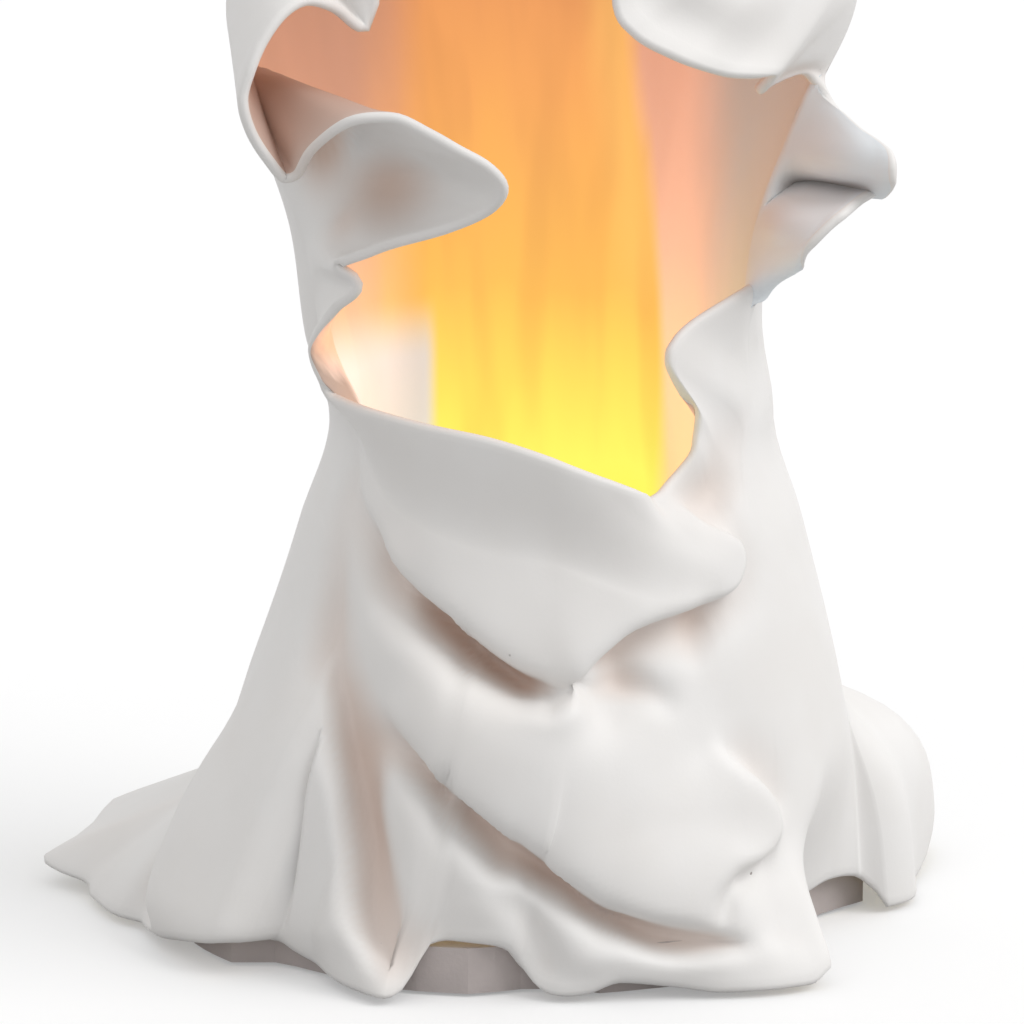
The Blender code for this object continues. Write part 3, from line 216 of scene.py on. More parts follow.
# hem from above: x, y, lift off the ground, how high that lobe climbs, and how full it stays up there
HEM = (
    (-1, -82, 15, 60, 1),
    (5.5, -81.5, 14, 60, 1),
    (10.5, -80, 8, 60, 1),
    (15, -82, 2.5, 70, 1),
    (21.5, -85, 0.5, 70, 1),
    (30, -85, 1, 70, 1),
    (39.5, -84, 4.5, 60, 1),
    (54, -82, 2.5, 50, 1),
    (69, -81.5, 0.5, 45, 1),
    (84, -79, 0.5, 42, 1),
    (94, -74.5, 0.5, 42, 1),
    (99, -71, 3, 42, 1),
    (97, -62, 4, 42, 1),
    (85, -46, 8, 46, 1),
    (74.5, -34, 14, 50, 1),
    (83.5, -27.5, 12, 60, 1),
    (93, -18, 10, 60, 1),
    (103, -8.5, 12, 60, 1),
    (111.5, -2.5, 11, 60, 1),
    (116.5, 0, 6, 64, 1.5),
    (120, 0.5, 0.5, 64, 2),
    (130.5, 30, 0.5, 64, 3),
    (136, 52.5, 3, 64, 3),
    (136, 72, 4, 64, 3),
    (118, 92, 2, 62, 2),
    (88, 96, 6, 70, 1),
    (62, 97, 0.5, 130, 1),
    (30, 92, 8, 150, 1),
    (0, 97, 0.5, 160, 1),
    (-38, 92, 7, 150, 1),
    (-70, 93, 0.5, 100, 1),
    (-98, 84, 7, 48, 1),
    (-120, 81, 9, 42, 1),
    (-129.5, 47, 7, 40, 1),
    (-135.5, 35, 4, 40, 1),
    (-129.5, 26.5, 3, 40, 1),
    (-121, 19, 2.5, 42, 1),
    (-116, 7.5, 0.5, 44, 1),
    (-107.5, -10, 0.5, 50, 1),
    (-99.5, -18, 0.5, 90, 1),
    (-96.5, -30.5, 1.5, 110, 1),
    (-88.5, -46, 5, 110, 1),
    (-79, -60, 8, 100, 1),
    (-69.5, -61, 9.5, 90, 1),
    (-62, -56, 9, 85, 1),
    (-56, -56.5, 6, 80, 1),
    (-49, -61, 3, 80, 1),
    (-42, -72.5, 1, 80, 1),
    (-34, -82.5, 0.5, 75, 1),
    (-27.5, -88.5, 0.5, 70, 1),
    (-22.5, -86.5, 1, 60, 1),
    (-20, -85.5, 4.5, 60, 1),
    (-17.5, -85, 9.5, 60, 1),
    (-15.5, -83.5, 13.5, 60, 1),
    (-8.5, -82, 15, 60, 1),
)

# opening, once round from the middle of its front rim: angle at the waist, angle and height at which
# the cloth leaves the body, and the x, y and z of its edge
OPENING = (
    (0, 0, 120, 20, -67, 151.5),
    (22, 23, 112, 42.5, -61, 142),
    (36, 37, 112, 48.5, -54, 138),
    (43, 44, 116, 56, -44, 141.5),
    (48, 49, 124, 61.5, -38, 149),
    (54, 55, 134, 62, -36, 157.5),
    (60, 61, 150, 53.5, -41, 174),
    (63, 64, 156, 55.5, -39, 179.5),
    (66, 67, 162, 60.5, -34, 183.5),
    (69, 70, 168, 72, -24, 188.5),
    (71, 72.5, 175, 79, -12, 190.5),
    (72.5, 74.5, 181, 83.5, -8, 195.5),
    (74, 77, 188, 89, -26, 200),
    (75.5, 78.5, 194, 94.5, -36, 207),
    (77, 79.5, 200, 101, -36, 213),
    (78.5, 80.3, 206, 108, -24, 216),
    (80, 81, 212, 114, -12, 217.5),
    (81, 81.5, 218, 116.5, -34, 226),
    (82.5, 82.3, 226, 115.5, -30, 231),
    (83.5, 82.8, 233, 107.5, -18, 235.5),
    (85, 83.3, 242, 101.5, -8, 240.5),
    (86.5, 83.6, 250, 97, -4, 247.5),
    (88, 83.8, 258, 90, -14, 251),
    (89.5, 83.8, 265, 77.5, -42, 249.5),
    (90.5, 83.7, 272, 81.5, -52, 256),
    (92, 83.3, 280, 66.5, -68, 259.5),
    (93.5, 83, 287, 53.5, -75, 265),
    (95, 82.5, 294, 41.5, -75, 271.5),
    (97.5, 82, 304, 37, -72, 281.5),
    (101, 82, 318, 40, -64, 314),
    (108, 86.5, 345, 48, -52, 345),
    (119.5, 98, 385, 44, -44, 385),
    (148, 130, 418, 30, -40, 415),
    (180, 180, 430, 11, -38, 426),
    (212, 230, 418, -8, -40, 415),
    (240, 262, 385, -22, -44, 385),
    (254.3, 274, 345, -30, -50, 345),
    (259, 278, 318, -28, -55, 304),
    (262, 279, 304, -30.5, -56, 270.5),
    (264, 278.5, 297, -38, -62, 277),
    (265.5, 278, 290, -46, -68, 280),
    (267, 277.5, 282, -53, -72, 277),
    (268, 277, 277, -59, -75, 269.5),
    (269, 276.5, 272, -63, -77, 260.5),
    (270.3, 276, 266, -65, -77, 252.5),
    (271.5, 276, 260, -63, -75, 243.5),
    (272.7, 276.5, 255, -58.5, -71, 235),
    (274, 277, 250, -53, -66.5, 228.3),
    (275.2, 278, 246.5, -48, -70, 230.5),
    (276.5, 279, 243, -43.5, -78, 238.5),
    (278, 280, 239, -33.5, -85, 247),
    (279.5, 281.5, 235, -23, -87, 248.5),
    (281, 282.5, 230, -12.5, -88, 244.5),
    (282.5, 284, 225.5, -4, -89, 240),
    (283.7, 285, 222, 3.5, -89, 235.5),
    (285, 286, 217.5, 7, -87, 230),
    (286.2, 287, 214, 3.5, -83, 225),
    (287.7, 288.5, 209, -7.5, -77, 219.5),
    (289, 289.5, 205, -22.5, -69, 214),
    (290.5, 290.5, 200, -31, -62, 210),
    (291.7, 291.5, 196, -39, -55, 206),
    (292.8, 292.5, 192, -40.5, -52, 203),
    (294.2, 293.5, 187, -34.5, -54, 198.5),
    (296, 294.5, 180, -40.5, -47, 192),
    (298.5, 296, 171, -46, -36, 183),
    (301, 298, 163, -48, -29, 174.5),
    (304.5, 301, 155, -45.5, -28, 166.5),
    (308, 304, 148, -41.5, -30, 161.5),
    (320, 316, 136, -31, -45, 161),
    (334, 331, 128, -15, -56, 159),
    (348, 346, 123, 3, -64, 156.5),
)

# folds, each with the width over which its lift dies away, how far its edge hangs over as a share of the
# lift, the width of its groove, and its line: points of angle, height, lift, drop and groove depth, with
# the raised cloth on the line's left, the drop being how wide the step down is and the groove below it
FOLDS = (
    # front flap: its belly from the left, then its free edge up to the tip at the right
    (40, 0.9, 8, (
        (-50, 139, 1, 7, 1), (-44.7, 132.3, 2, 7, 3), (-38.8, 125.9, 3, 6, 5), (-33.7, 117.6, 4, 6, 8),
        (-27.4, 110.7, 4.5, 6, 11), (-18.9, 104.2, 5, 6, 13), (-12, 97.2, 5, 6, 13),
        (-6.1, 92, 5, 6, 12), (0, 87.9, 5, 6, 10), (5, 85.1, 5.5, 6, 8), (7.1, 84.7, 5.5, 6, 7),
        (6.9, 88.7, 7, 4, 6), (7.9, 92, 7, 4, 6), (10.9, 96.1, 6.5, 4, 7), (14.9, 100.5, 6, 4, 7),
        (18.2, 102.4, 6, 4, 7), (23, 104.2, 5.5, 4, 6), (31.6, 106.5, 5, 4, 5), (39.4, 108.6, 5, 4, 4),
        (42.6, 110.5, 5, 4, 3), (44.7, 113.3, 5, 4, 2), (45.4, 116.9, 5, 4, 1), (44.4, 121.5, 5, 4, 1),
        (43.1, 124, 4, 4, 1), (41.2, 127.8, 3, 4, 1), (40.2, 133.3, 2, 4, 1), (37.6, 136.4, 0, 4, 0),
    )),
    # wrap under the flap: its upper roll
    (24, 0, 7, (
        (12, 82.7, 0, 4, 4), (8.9, 82, 3, 3, 4), (6.7, 81, 5, 3, 5), (3, 79.7, 7, 3, 6),
        (0, 78.5, 7, 3, 7), (-2.4, 79.4, 7, 3, 7), (-5.3, 80.9, 7, 3, 7), (-8.5, 83.9, 7, 3, 7),
        (-12.2, 87, 7, 3, 7), (-17.1, 90.8, 7, 3, 7), (-21.3, 95, 6, 3, 7), (-26, 99.3, 5, 3, 6),
        (-29.8, 105.6, 3, 3, 4), (-34.1, 116.5, 0, 3, 0),
    )),
    # crease that runs on from the flap's corner
    (0, 0, 3.5, (
        (10.9, 90.3, 0, 0, 1), (16.1, 87.1, 0, 0, 4), (21.8, 82.7, 0, 0, 3), (24.9, 77.2, 0, 0, 0),
    )),
    # wrap: its rolled border, from the left down to the tongue
    (26, 0.7, 8, (
        (-31.4, 82, 0, 5, 0), (-27.9, 74.9, 4, 5, 2), (-22.5, 67.3, 6, 5, 5), (-18.9, 62.2, 7, 5, 6),
        (-12.8, 54.8, 8, 5, 7), (-7.6, 49.1, 8, 5, 7), (-2.4, 41.9, 8, 5, 7), (5, 34.2, 8, 5, 7),
        (9.9, 29, 8, 5, 7), (14.9, 24.7, 8, 4, 7), (20.1, 21.8, 7, 4, 7), (25.6, 19.5, 6, 4, 6),
        (30.4, 17.9, 6, 4, 5), (33.5, 16.6, 5, 4, 4), (36, 15.2, 4, 4, 3), (39, 13.8, 2, 4, 1),
        (40.5, 11.7, 0, 4, 0),
    )),
    # lip line inside that border
    (0, 0, 3, (
        (-31.4, 85.4, 0, 0, 0), (-27.7, 77.7, 0, 0, 1), (-19.8, 65.7, 0, 0, 1.3), (-14.5, 57.6, 0, 0, 1.3),
        (-6, 49.4, 0, 0, 1), (5, 37.1, 0, 0, 1), (11.7, 30.5, 0, 0, 0),
    )),
    # foot: comes down from the left and runs out into the tongue
    (18, 0, 8, (
        (41.4, 9.5, 0, 4, 1), (37.1, 10.9, 2, 4, 2), (33, 10.3, 4, 4, 3), (29.2, 8.3, 5, 4, 3),
        (26.3, 8.2, 5, 4, 4), (22, 10, 5, 4, 4), (18.8, 12.6, 5, 4, 4), (14.9, 16.2, 6, 4, 5),
        (10.2, 21, 6, 4, 5), (5.9, 25, 6, 4, 5), (0, 30.2, 6, 4, 5), (-4.4, 33, 6, 4, 4),
        (-5.8, 32.8, 6, 4, 4), (-10.9, 40.6, 6, 4, 5), (-15.4, 47.3, 6, 4, 5), (-19.8, 53.6, 6, 4, 5),
        (-23.6, 57.8, 5, 4, 4), (-27.9, 61, 3, 4, 3), (-32.6, 62.2, 0, 4, 2),
    )),
    # valley below the foot's knee
    (0, 0, 4, (
        (-4.4, 31.5, 0, 0, 1), (-0.4, 25.1, 0, 0, 4), (2.8, 19, 0, 0, 5), (4.8, 13.8, 0, 0, 5),
        (5.9, 7.7, 0, 0, 5),
    )),
    # left panel's edge, the valley over it and the crease beside it
    (26, 1.1, 16, (
        (-21.1, 6.8, 4, 5, 4), (-24.5, 12.5, 5, 5, 6), (-27.5, 18.7, 6, 5, 7), (-30.6, 27.5, 6, 5, 8),
        (-32.9, 36.1, 6, 5, 9), (-35.4, 45.3, 6, 5, 10), (-37.4, 54.9, 6, 5, 10), (-39.3, 61.1, 6, 5, 10),
        (-42.2, 68.5, 5, 5, 9), (-45.1, 75.8, 3.5, 5, 8), (-48.9, 82.3, 1.5, 5, 5), (-51, 87, 0, 4, 3),
    )),
    (0, 0, 8, (
        (-58, 128, 0, 0, 1), (-54, 112, 0, 0, 3), (-52, 92.4, 0, 0, 4), (-49.1, 83.3, 0, 0, 3),
        (-45.2, 72.8, 0, 0, 0),
    )),
    (0, 0, 5, (
        (-36.5, 62, 0, 0, 0), (-32, 46, 0, 0, 2), (-25, 27.3, 0, 0, 2.5), (-18.5, 12.6, 0, 0, 2),
    )),
    # front panel's edge over the left train
    (20, 0.5, 8, (
        (-84, 60, 0, 6, 1), (-79.5, 51, 3, 6, 3), (-76, 45.3, 5, 6, 5), (-74.4, 32.2, 6, 6, 6),
        (-73.2, 18.1, 6, 6, 6), (-70.5, 5.6, 5, 6, 4),
    )),
    # wrap: its own tip at the right, and its end below
    (22, 0.5, 10, (
        (34.5, 25, 0, 4, 0), (34, 29.8, 2, 4, 2), (34, 31.3, 4, 4, 3), (34.8, 33.3, 5, 4, 3),
        (36, 34.2, 6, 4, 3), (39, 35, 6, 4, 3), (41.7, 36.6, 6, 4, 3), (44.7, 39.1, 6, 4, 3),
        (45.5, 40.6, 6, 4, 3), (45, 46.9, 6, 4, 3), (40.2, 57.2, 6, 4, 3), (35.4, 61.8, 4, 4, 2),
        (30.4, 67.8, 0, 4, 0),
    )),
    (0, 0, 3.5, (
        (34.6, 31.3, 0, 0, 3), (33.5, 27, 0, 0, 4), (33.3, 22.1, 0, 0, 3), (33.8, 17.9, 0, 0, 1),
    )),
    # right side: creases under the opening, and the valley beside the flap
    (0, 0, 5, (
        (60, 154.1, 0, 0, 1), (51.8, 142.5, 0, 0, 3), (46.6, 137.5, 0, 0, 4), (43.5, 133, 0, 0, 3),
        (41.3, 130.2, 0, 0, 1),
    )),
    (0, 0, 4, (
        (55.6, 142.5, 0, 0, 0), (48.2, 135.1, 0, 0, 2), (44.4, 127.5, 0, 0, 0),
    )),
    (0, 0, 6, (
        (34, 108, 0, 0, 2), (32.8, 104.5, 0, 0, 4), (30.1, 97.4, 0, 0, 3), (27.3, 89.8, 0, 0, 0),
    )),
    # back: four soft folds that fall from the shoulders
    (26, 0, 14, (
        (128, 14, 3, 12, 1), (122, 80, 5, 12, 2), (116, 170, 5, 12, 2), (110, 240, 0, 12, 0),
    )),
    (30, 0, 14, (
        (164, 14, 3, 12, 1), (160, 90, 5, 12, 2), (166, 190, 5, 12, 2), (174, 280, 0, 12, 0),
    )),
    (26, 0, 14, (
        (205, 14, 3, 12, 1), (200, 90, 4, 12, 2), (196, 170, 4, 12, 2), (192, 250, 0, 12, 0),
    )),
    (30, 0, 14, (
        (242, 20, 3, 12, 1), (236, 90, 5, 12, 2), (232, 170, 5, 12, 2), (236, 250, 0, 12, 0),
    )),
)

# hollows, and swellings below zero, pressed from the front into the cloth round the opening: x, z,
# half length, half width, tilt in degrees, depth
DENTS = (
    # left ruffle and the lobe over it
    (-43, 233, 11, 6, 70, 11), (-25, 224, 12, 8, 30, 9), (-8, 240, 12, 7, -20, -5),
    (-33, 238, 8, 4, 60, -3), (-38, 213, 6, 3, 50, 4), (-44, 268, 10, 6, 40, 7),
    # lobe over the right of the opening, whose belly hangs over its edge
    (66, 284, 24, 13, -15, -14),
    # right wing
    (94, 220, 18, 4.5, 8, 13), (78, 217, 9, 4.5, -10, 10), (86, 209, 12, 5, 10, -9),
    (72, 199, 8, 4, 40, 9), (88, 250, 7, 3.5, 0, 7), (79, 229, 12, 6, 20, 5), (104, 229, 12, 6, 30, -5),
)

# the root of the left lobe, where the cloth turns so tightly that it is smoothed: its place and size
PINCH = (-74, 1, 267)
PINCH_SIZE = (12, 12, 16)
PINCH_PASSES = 60


def ease(share):
    """Rises from 0 to 1 with level ends."""
    share = np.clip(share, 0, 1)
    return share * share * (3 - 2 * share)


def smooth_curve(at, knots, values, period=None):
    """A smooth curve through values at knots, read at the given places. A period closes it."""
    knots = np.asarray(knots, float)
    values = np.asarray(values, float).reshape(len(knots), -1)
    at = np.asarray(at, float)
    if period:
        at = np.mod(at - knots[0], period) + knots[0]
        knots = np.concatenate([knots[-2:] - period, knots, knots[:2] + period])
        values = np.concatenate([values[-2:], values, values[:2]])
    slopes = np.gradient(values, knots, axis=0)
    chords = np.diff(values, axis=0) / np.diff(knots)[:, None]
    steepest = 3 * np.minimum(abs(chords[:-1]), abs(chords[1:])) * (chords[:-1] * chords[1:] > 0)
    slopes[1:-1] = np.clip(slopes[1:-1], -steepest, steepest)
    span = np.clip(np.searchsorted(knots, at, side="right") - 1, 0, len(knots) - 2)
    width = (knots[span + 1] - knots[span])[..., None]
    t = np.clip((at - knots[span])[..., None] / width, 0, 1)
    start, end = values[span], values[span + 1]
    leave, arrive = slopes[span] * width, slopes[span + 1] * width
    return (
        (2 * t**3 - 3 * t**2 + 1) * start
        + (t**3 - 2 * t**2 + t) * leave
        + (3 * t**2 - 2 * t**3) * end
        + (t**3 - t**2) * arrive
    )


def hem_rows():
    """The hem as sorted rows of angle, reach (1 is the plain body), lift, climb and fullness."""
    _, centre_x, centre_y, half_width, half_depth = SECTIONS[0]
    rows = []
    for x, y, lift, climb, fullness in HEM:
        across, forward = (x - centre_x) / half_width, (centre_y - y) / half_depth
        angle = math.degrees(math.atan2(across, forward)) % 360
        rows.append((angle, math.hypot(across, forward), lift, climb, fullness))
    return np.array(sorted(rows))


def hem_at(angle):
    rows = hem_rows()
    return np.moveaxis(smooth_curve(angle, rows[:, 0], rows[:, 1:], 360), -1, 0)


def body_point(angle, height):
    """A point of the plain body: round sections, spread into the hem's lobes near the ground."""
    table = np.array(SECTIONS, float)
    dome_start = HOOD_TOP - HOOD_RADIUS
    level = np.minimum(height, dome_start)
    section = smooth_curve(level, table[:, 0], table[:, 1:])
    centre_x, centre_y, half_width, half_depth = np.moveaxis(section, -1, 0)
    close = np.sqrt(np.clip(1 - (np.maximum(height - dome_start, 0) / HOOD_RADIUS) ** 2, 0, 1))
    reach, _, climb, fullness = hem_at(angle)
    spread = 1 + (reach - 1) * ease(1 - np.clip(height / climb, 0, 1) ** fullness)
    turn = np.radians(angle)
    x = centre_x + half_width * spread * close * np.sin(turn)
    y = centre_y - half_depth * spread * close * np.cos(turn)
    return np.stack([x, y, height + 0 * turn], -1)


def cloak_columns(fine, coarse):
    """Where the cloak's columns stand along the OPENING rows: finer at the front and in the ruffles."""
    rows = np.array(OPENING, float)
    edge = rows[:, 3:]
    hem = body_point(rows[:, 0], 0 * rows[:, 0])
    places = []
    for number, angle in enumerate(rows[:, 0]):
        after = (number + 1) % len(rows)
        gap = max(np.linalg.norm(edge[after] - edge[number]), np.linalg.norm(hem[after] - hem[number]))
        spacing = fine if angle < 98 or angle >= 262 else coarse
        count = max(1, round(gap / spacing))
        places.extend(number + np.arange(count) / count)
    return np.array([*places, len(rows)])


def opening_at(place):
    """Waist angle, root angle, root height and edge point for places along the OPENING rows."""
    rows = np.array(OPENING, float)
    count = len(rows)
    knots = np.arange(count)
    rows[:, :2] -= knots[:, None] * 360 / count
    read = smooth_curve(place, knots, rows, count)
    read[:, :2] += place[:, None] * 360 / count
    return read[:, 0], read[:, 1], read[:, 2], read[:, 3:]


def plain_cloak(places, body_rows, lapel_rows):
    """The cloak's outer surface before its folds, as rows of points from the hem to the opening."""
    waist_angle, root_angle, root_height, edge = opening_at(places)
    lift = hem_at(waist_angle)[1]
    power = 1 + 0.35 * ease((root_height - 130) / 200)

    def along_body(share):
        share = share**power
        height = lift + (root_height - lift) * share
        return body_point(waist_angle + (root_angle - waist_angle) * share**3, height)

    share = np.linspace(0, 1, body_rows + 1)[:, None]
    body = along_body(share * np.ones_like(root_height))
    root = body[-1]
    heading = root - along_body(np.full_like(root_height, 0.98))
    heading /= np.linalg.norm(heading, axis=1, keepdims=True)
    chord = edge - root
    leave = heading * np.linalg.norm(chord, axis=1, keepdims=True) * 0.9
    top = ease((root_height - 385) / 45)[:, None]
    arrive = chord - np.array([0, 0, 40]) * top
    t = np.linspace(0, 1, lapel_rows + 1)[1:, None, None]
    lapel = (
        (2 * t**3 - 3 * t**2 + 1) * root
        + (t**3 - 2 * t**2 + t) * leave
        + (3 * t**2 - 2 * t**3) * edge
        + (t**3 - t**2) * arrive
    )
    return np.concatenate([body, lapel])


def directions(surface, places):
    """Unit vectors across, up and out of a surface whose first and last columns meet."""
    ring = surface[:, :-1]
    after = np.diff(places)[:, None]
    before = np.roll(after, 1, 0)
    forward = (np.roll(ring, -1, 1) - ring) / after
    backward = (ring - np.roll(ring, 1, 1)) / before
    across = forward * before + backward * after
    up = np.gradient(ring, axis=0)
    found = []
    for way in (across, up, np.cross(across, up)):
        way = way / np.maximum(np.linalg.norm(way, axis=2, keepdims=True), 1e-9)
        found.append(np.concatenate([way, way[:, :1]], axis=1))
    return found


FOLD_DEGREE = 1.5


def fold_move(angle, height, fold):
    """How far one fold moves the cloth across, up and out, at an angle and height of the body."""
    soft, overhang, groove_width, line = fold
    line = smooth_curve(np.linspace(0, len(line) - 1, 5 * len(line)), np.arange(len(line)), line)
    line[:, 0] *= FOLD_DEGREE
    along = np.gradient(line[:, :2], axis=0)
    along /= np.linalg.norm(along, axis=1, keepdims=True)
    line[:, 0] -= overhang * line[:, 2] * along[:, 1]
    line[:, 1] += overhang * line[:, 2] * along[:, 0]
    middle = line[:, 0].mean()
    half_turn = 180 * FOLD_DEGREE
    across = np.mod(angle * FOLD_DEGREE - middle + half_turn, 2 * half_turn) + middle - half_turn
    nearest = np.full(across.shape, np.inf)
    total = np.zeros(across.shape)
    sums = np.zeros((6, *across.shape))
    for start, end in zip(line[:-1], line[1:]):
        run = (end - start)[:2]
        length = np.linalg.norm(run)
        right, rise = across - start[0], height - start[1]
        t = np.clip((right * run[0] + rise * run[1]) / length**2, 0, 1)
        right, rise = right - t * run[0], rise - t * run[1]
        distance = np.hypot(right, rise)
        nearest = np.minimum(nearest, distance)
        weight = (distance**2 + 0.1) ** -3
        total += weight
        side = (run[0] * rise - run[1] * right) / (length * distance + 1e-6)
        here = start[2:, None, None] + t * (end - start)[2:, None, None]
        way = np.array([run[1], -run[0]])[:, None, None] / length + 0 * side
        sums += weight * np.concatenate([side[None], way, here])
    side, right_way, (lift, drop, groove) = sums[0] / total, sums[1:3] / total, sums[3:] / total
    if soft == 0:
        out = -groove * np.exp(-((nearest / groove_width) ** 2))
        return np.stack([0 * out, 0 * out, out])
    drop = np.maximum(drop, 5.5)
    raised = ease((side + 1) / 2)
    fallen = ease(nearest / drop)
    past = np.maximum(nearest - drop, 0) / groove_width
    dropped = lift * (1 - fallen) - groove * fallen * np.exp(-(past**2))
    out = raised * lift * np.exp(-((nearest / soft) ** 2)) + (1 - raised) * dropped
    hang = overhang * lift * (raised * np.exp(-nearest / (2 * drop)) + (1 - raised) * (1 - fallen))
    return np.stack([right_way[0] * hang, right_way[1] * hang, out])


def smoothed(field):
    """A field over the surface with each value blended into its neighbours. Its outer columns are one."""
    ring = field[..., :-1]
    ring = (np.roll(ring, 1, -1) + 2 * ring + np.roll(ring, -1, -1)) / 4
    tall = np.concatenate([ring[:, :1], ring, ring[:, -1:]], axis=1)
    ring = (tall[:, :-2] + 2 * tall[:, 1:-1] + tall[:, 2:]) / 4
    return np.concatenate([ring, ring[..., :1]], axis=-1)


def dented(surface):
    """How far the dents push each point of the surface back."""
    total = np.zeros(surface.shape[:2])
    for x, z, half_length, half_width, tilt, depth in DENTS:
        turn = math.radians(tilt)
        right, rise = surface[..., 0] - x, surface[..., 2] - z
        along = right * math.cos(turn) + rise * math.sin(turn)
        aside = rise * math.cos(turn) - right * math.sin(turn)
        total += depth * np.exp(-((along / half_length) ** 2) - (aside / half_width) ** 2)
    return total


def folded_cloak(fine, coarse, body_rows, lapel_rows):
    """The cloak's outer and inner surface with its folds, centred and clear of the ground.

    Also gives the depth of the outer surface's hollows, with the dents counted more, and of its dents
    alone; the materials paint these depths as shade.
    """
    places = cloak_columns(fine, coarse)
    plain = plain_cloak(places, body_rows, lapel_rows)
    near_pinch = np.exp(-(((plain - PINCH) / PINCH_SIZE) ** 2).sum(axis=2))
    for _ in range(PINCH_PASSES):
        plain += near_pinch[..., None] * (np.moveaxis(smoothed(np.moveaxis(plain, 2, 0)), 0, 2) - plain)
    angle = opening_at(places)[0] + 0 * plain[..., 2]
    height = plain[..., 2]
    move = sum(fold_move(angle, height, fold) for fold in FOLDS) * ease(height / 12)
    move = smoothed(smoothed(move))
    ways = directions(plain, places)
    outer = plain + sum(way * amount[..., None] for way, amount in zip(ways, move))
    lapel_share = (np.arange(len(plain))[:, None, None] - body_rows) / lapel_rows
    to_edge = lapel_share[..., 0]
    dents = dented(outer) * ease(3 * to_edge) * (1 - 0.6 * ease(4 * to_edge - 3))
    outer[..., 1] += dents
    hollow = np.maximum(-move[2], 0)
    solid_inner = plain - ways[2] * (WALL + hollow)[..., None]
    thin_inner = outer - directions(outer, places)[2] * WALL
    inner = solid_inner + (thin_inner - solid_inner) * ease(2 * lapel_share)
    near_hem = np.clip(1 - np.arange(len(plain)) / body_rows, 0, 1) ** 6
    raise_by = np.maximum(plain[0, :, 2] + GROUND_GAP - inner[0, :, 2], 0) * near_hem[:, None]
    pressed = np.maximum(dents, 0)
    # the dents count 1.3 times over in the hollows' depth, which deepens their painted shade
    hollow += 1.3 * pressed
    seen_from_above = outer[..., :2].reshape(-1, 2)
    middle = (seen_from_above.min(axis=0) + seen_from_above.max(axis=0)) / 2
    for surface in (outer, inner):
        surface[..., 2] += raise_by
        surface[..., :2] -= middle
    return outer, inner, hollow, pressed


def round_edge(start, end, outward):
    """Three rows of points that round the wall's edge off, from one side of the wall to the other."""
    middle, half = (start + end) / 2, (start - end) / 2
    bulge = outward * np.linalg.norm(half, axis=1, keepdims=True)
    return [middle + half * math.cos(turn) + bulge * math.sin(turn) for turn in np.radians((45, 90, 135))]


outer, inner, hollow, pressed = folded_cloak(fine=1.75, coarse=10.0, body_rows=68, lapel_rows=28)

# the cloak stays inside the CAD model's box, and gives up the rows beside each edge to the edge's rounding
cad_half = (Vector(cad_box[1]) - Vector(cad_box[0])) / (2 * MM)
reach = abs(outer.reshape(-1, 3)).max(axis=0)
shrink = np.minimum([cad_half.x / reach[0], cad_half.y / reach[1], cad_box[1][2] / MM / reach[2]], 1)
for surface in (outer, inner):
    surface *= shrink
    surface[-1] -= (surface[-1] - surface[-3]) * 0.25
    surface[0] += (surface[2] - surface[0]) * 0.3
kept = [0, *range(2, len(outer) - 2), len(outer) - 1]
outer, hollow = outer[kept], hollow[kept]
inner_kept = [*kept[:-1:2], kept[-1]]
inner, pressed = inner[inner_kept], pressed[inner_kept]
top_way, foot_way = outer[-1] - outer[-2], outer[0] - outer[1]
top_way /= np.maximum(np.linalg.norm(top_way, axis=1, keepdims=True), 1e-9)
foot_way /= np.maximum(np.linalg.norm(foot_way, axis=1, keepdims=True), 1e-9)
lip = round_edge(outer[-1], inner[-1], top_way)
foot_edge = round_edge(inner[0], outer[0], foot_way)

# one closed loop of rows: up the outside, over the lip, down the inside and round the foot to the start
loop = np.array([*outer, *lip, *inner[::-1], *foot_edge, outer[0]])
outer_rows, lip_rows = len(outer), len(lip)
# the rows of the inner wall, whose material paints the lamp's light onto it
painted_glow_rows = range(outer_rows + lip_rows, outer_rows + lip_rows + len(inner))
rows, columns = loop.shape[0] - 1, loop.shape[1] - 1
cast = bmesh.new()
bmesh.ops.create_grid(cast, x_segments=columns, y_segments=rows, size=1)
cast.verts.ensure_lookup_table()
# the hollow attribute carries the hollows' depth, which the materials paint as shade
depth = cast.verts.layers.float.new("hollow")
for vert, point in zip(cast.verts, loop.reshape(-1, 3)):
    vert.co = point * MM
depths = np.array([*hollow, *[hollow[-1]] * lip_rows, *pressed[::-1]])
for vert, low in zip(cast.verts, depths.reshape(-1)):
    vert[depth] = min(low / 12, 1)
for face in cast.faces:
    row = min(vert.index for vert in face.verts) // (columns + 1)
    face.material_index = 1 if row in painted_glow_rows else 0
    face.smooth = True
bmesh.ops.remove_doubles(cast, verts=cast.verts, dist=0.000001)
cloak_mesh = bpy.data.meshes.new("resin_cloak")
cast.to_mesh(cloak_mesh)
cast.free()
cloak = bpy.data.objects.new("resin_cloak", cloak_mesh)
bpy.context.scene.collection.objects.link(cloak)

# how much of the lamp each point of the cloak sees, from 0 to 1
# the inner wall's material paints this light onto the wall as emission: painted light
LAMP = Vector((0.012, 0, 0.098))
LAMP_PARTS = ((0, 0, 0), (0.014, 0, 0), (-0.014, 0, 0), (0, -0.014, 0), (0, 0.014, 0), (0, 0, 0.03))
wall_tree = BVHTree.FromPolygons(
    [vert.co for vert in cloak_mesh.vertices], [face.vertices for face in cloak_mesh.polygons]
)
lamp_light = []
for vert in cloak_mesh.vertices:
    total = 0
    for shift in LAMP_PARTS:
        way = LAMP + Vector(shift) - vert.co
        distance = way.length
        way.normalize()
        start = vert.co + vert.normal * 0.001
        if way.dot(vert.normal) > 0 and wall_tree.ray_cast(start, way, distance)[0] is None:
            total += 1
    lamp_light.append(total / len(LAMP_PARTS) * float(ease((vert.co.z - 0.03) / 0.03)))
seen_lamp = cloak_mesh.attributes.new("lamp_light", "FLOAT", "POINT")
seen_lamp.data.foreach_set("value", lamp_light)


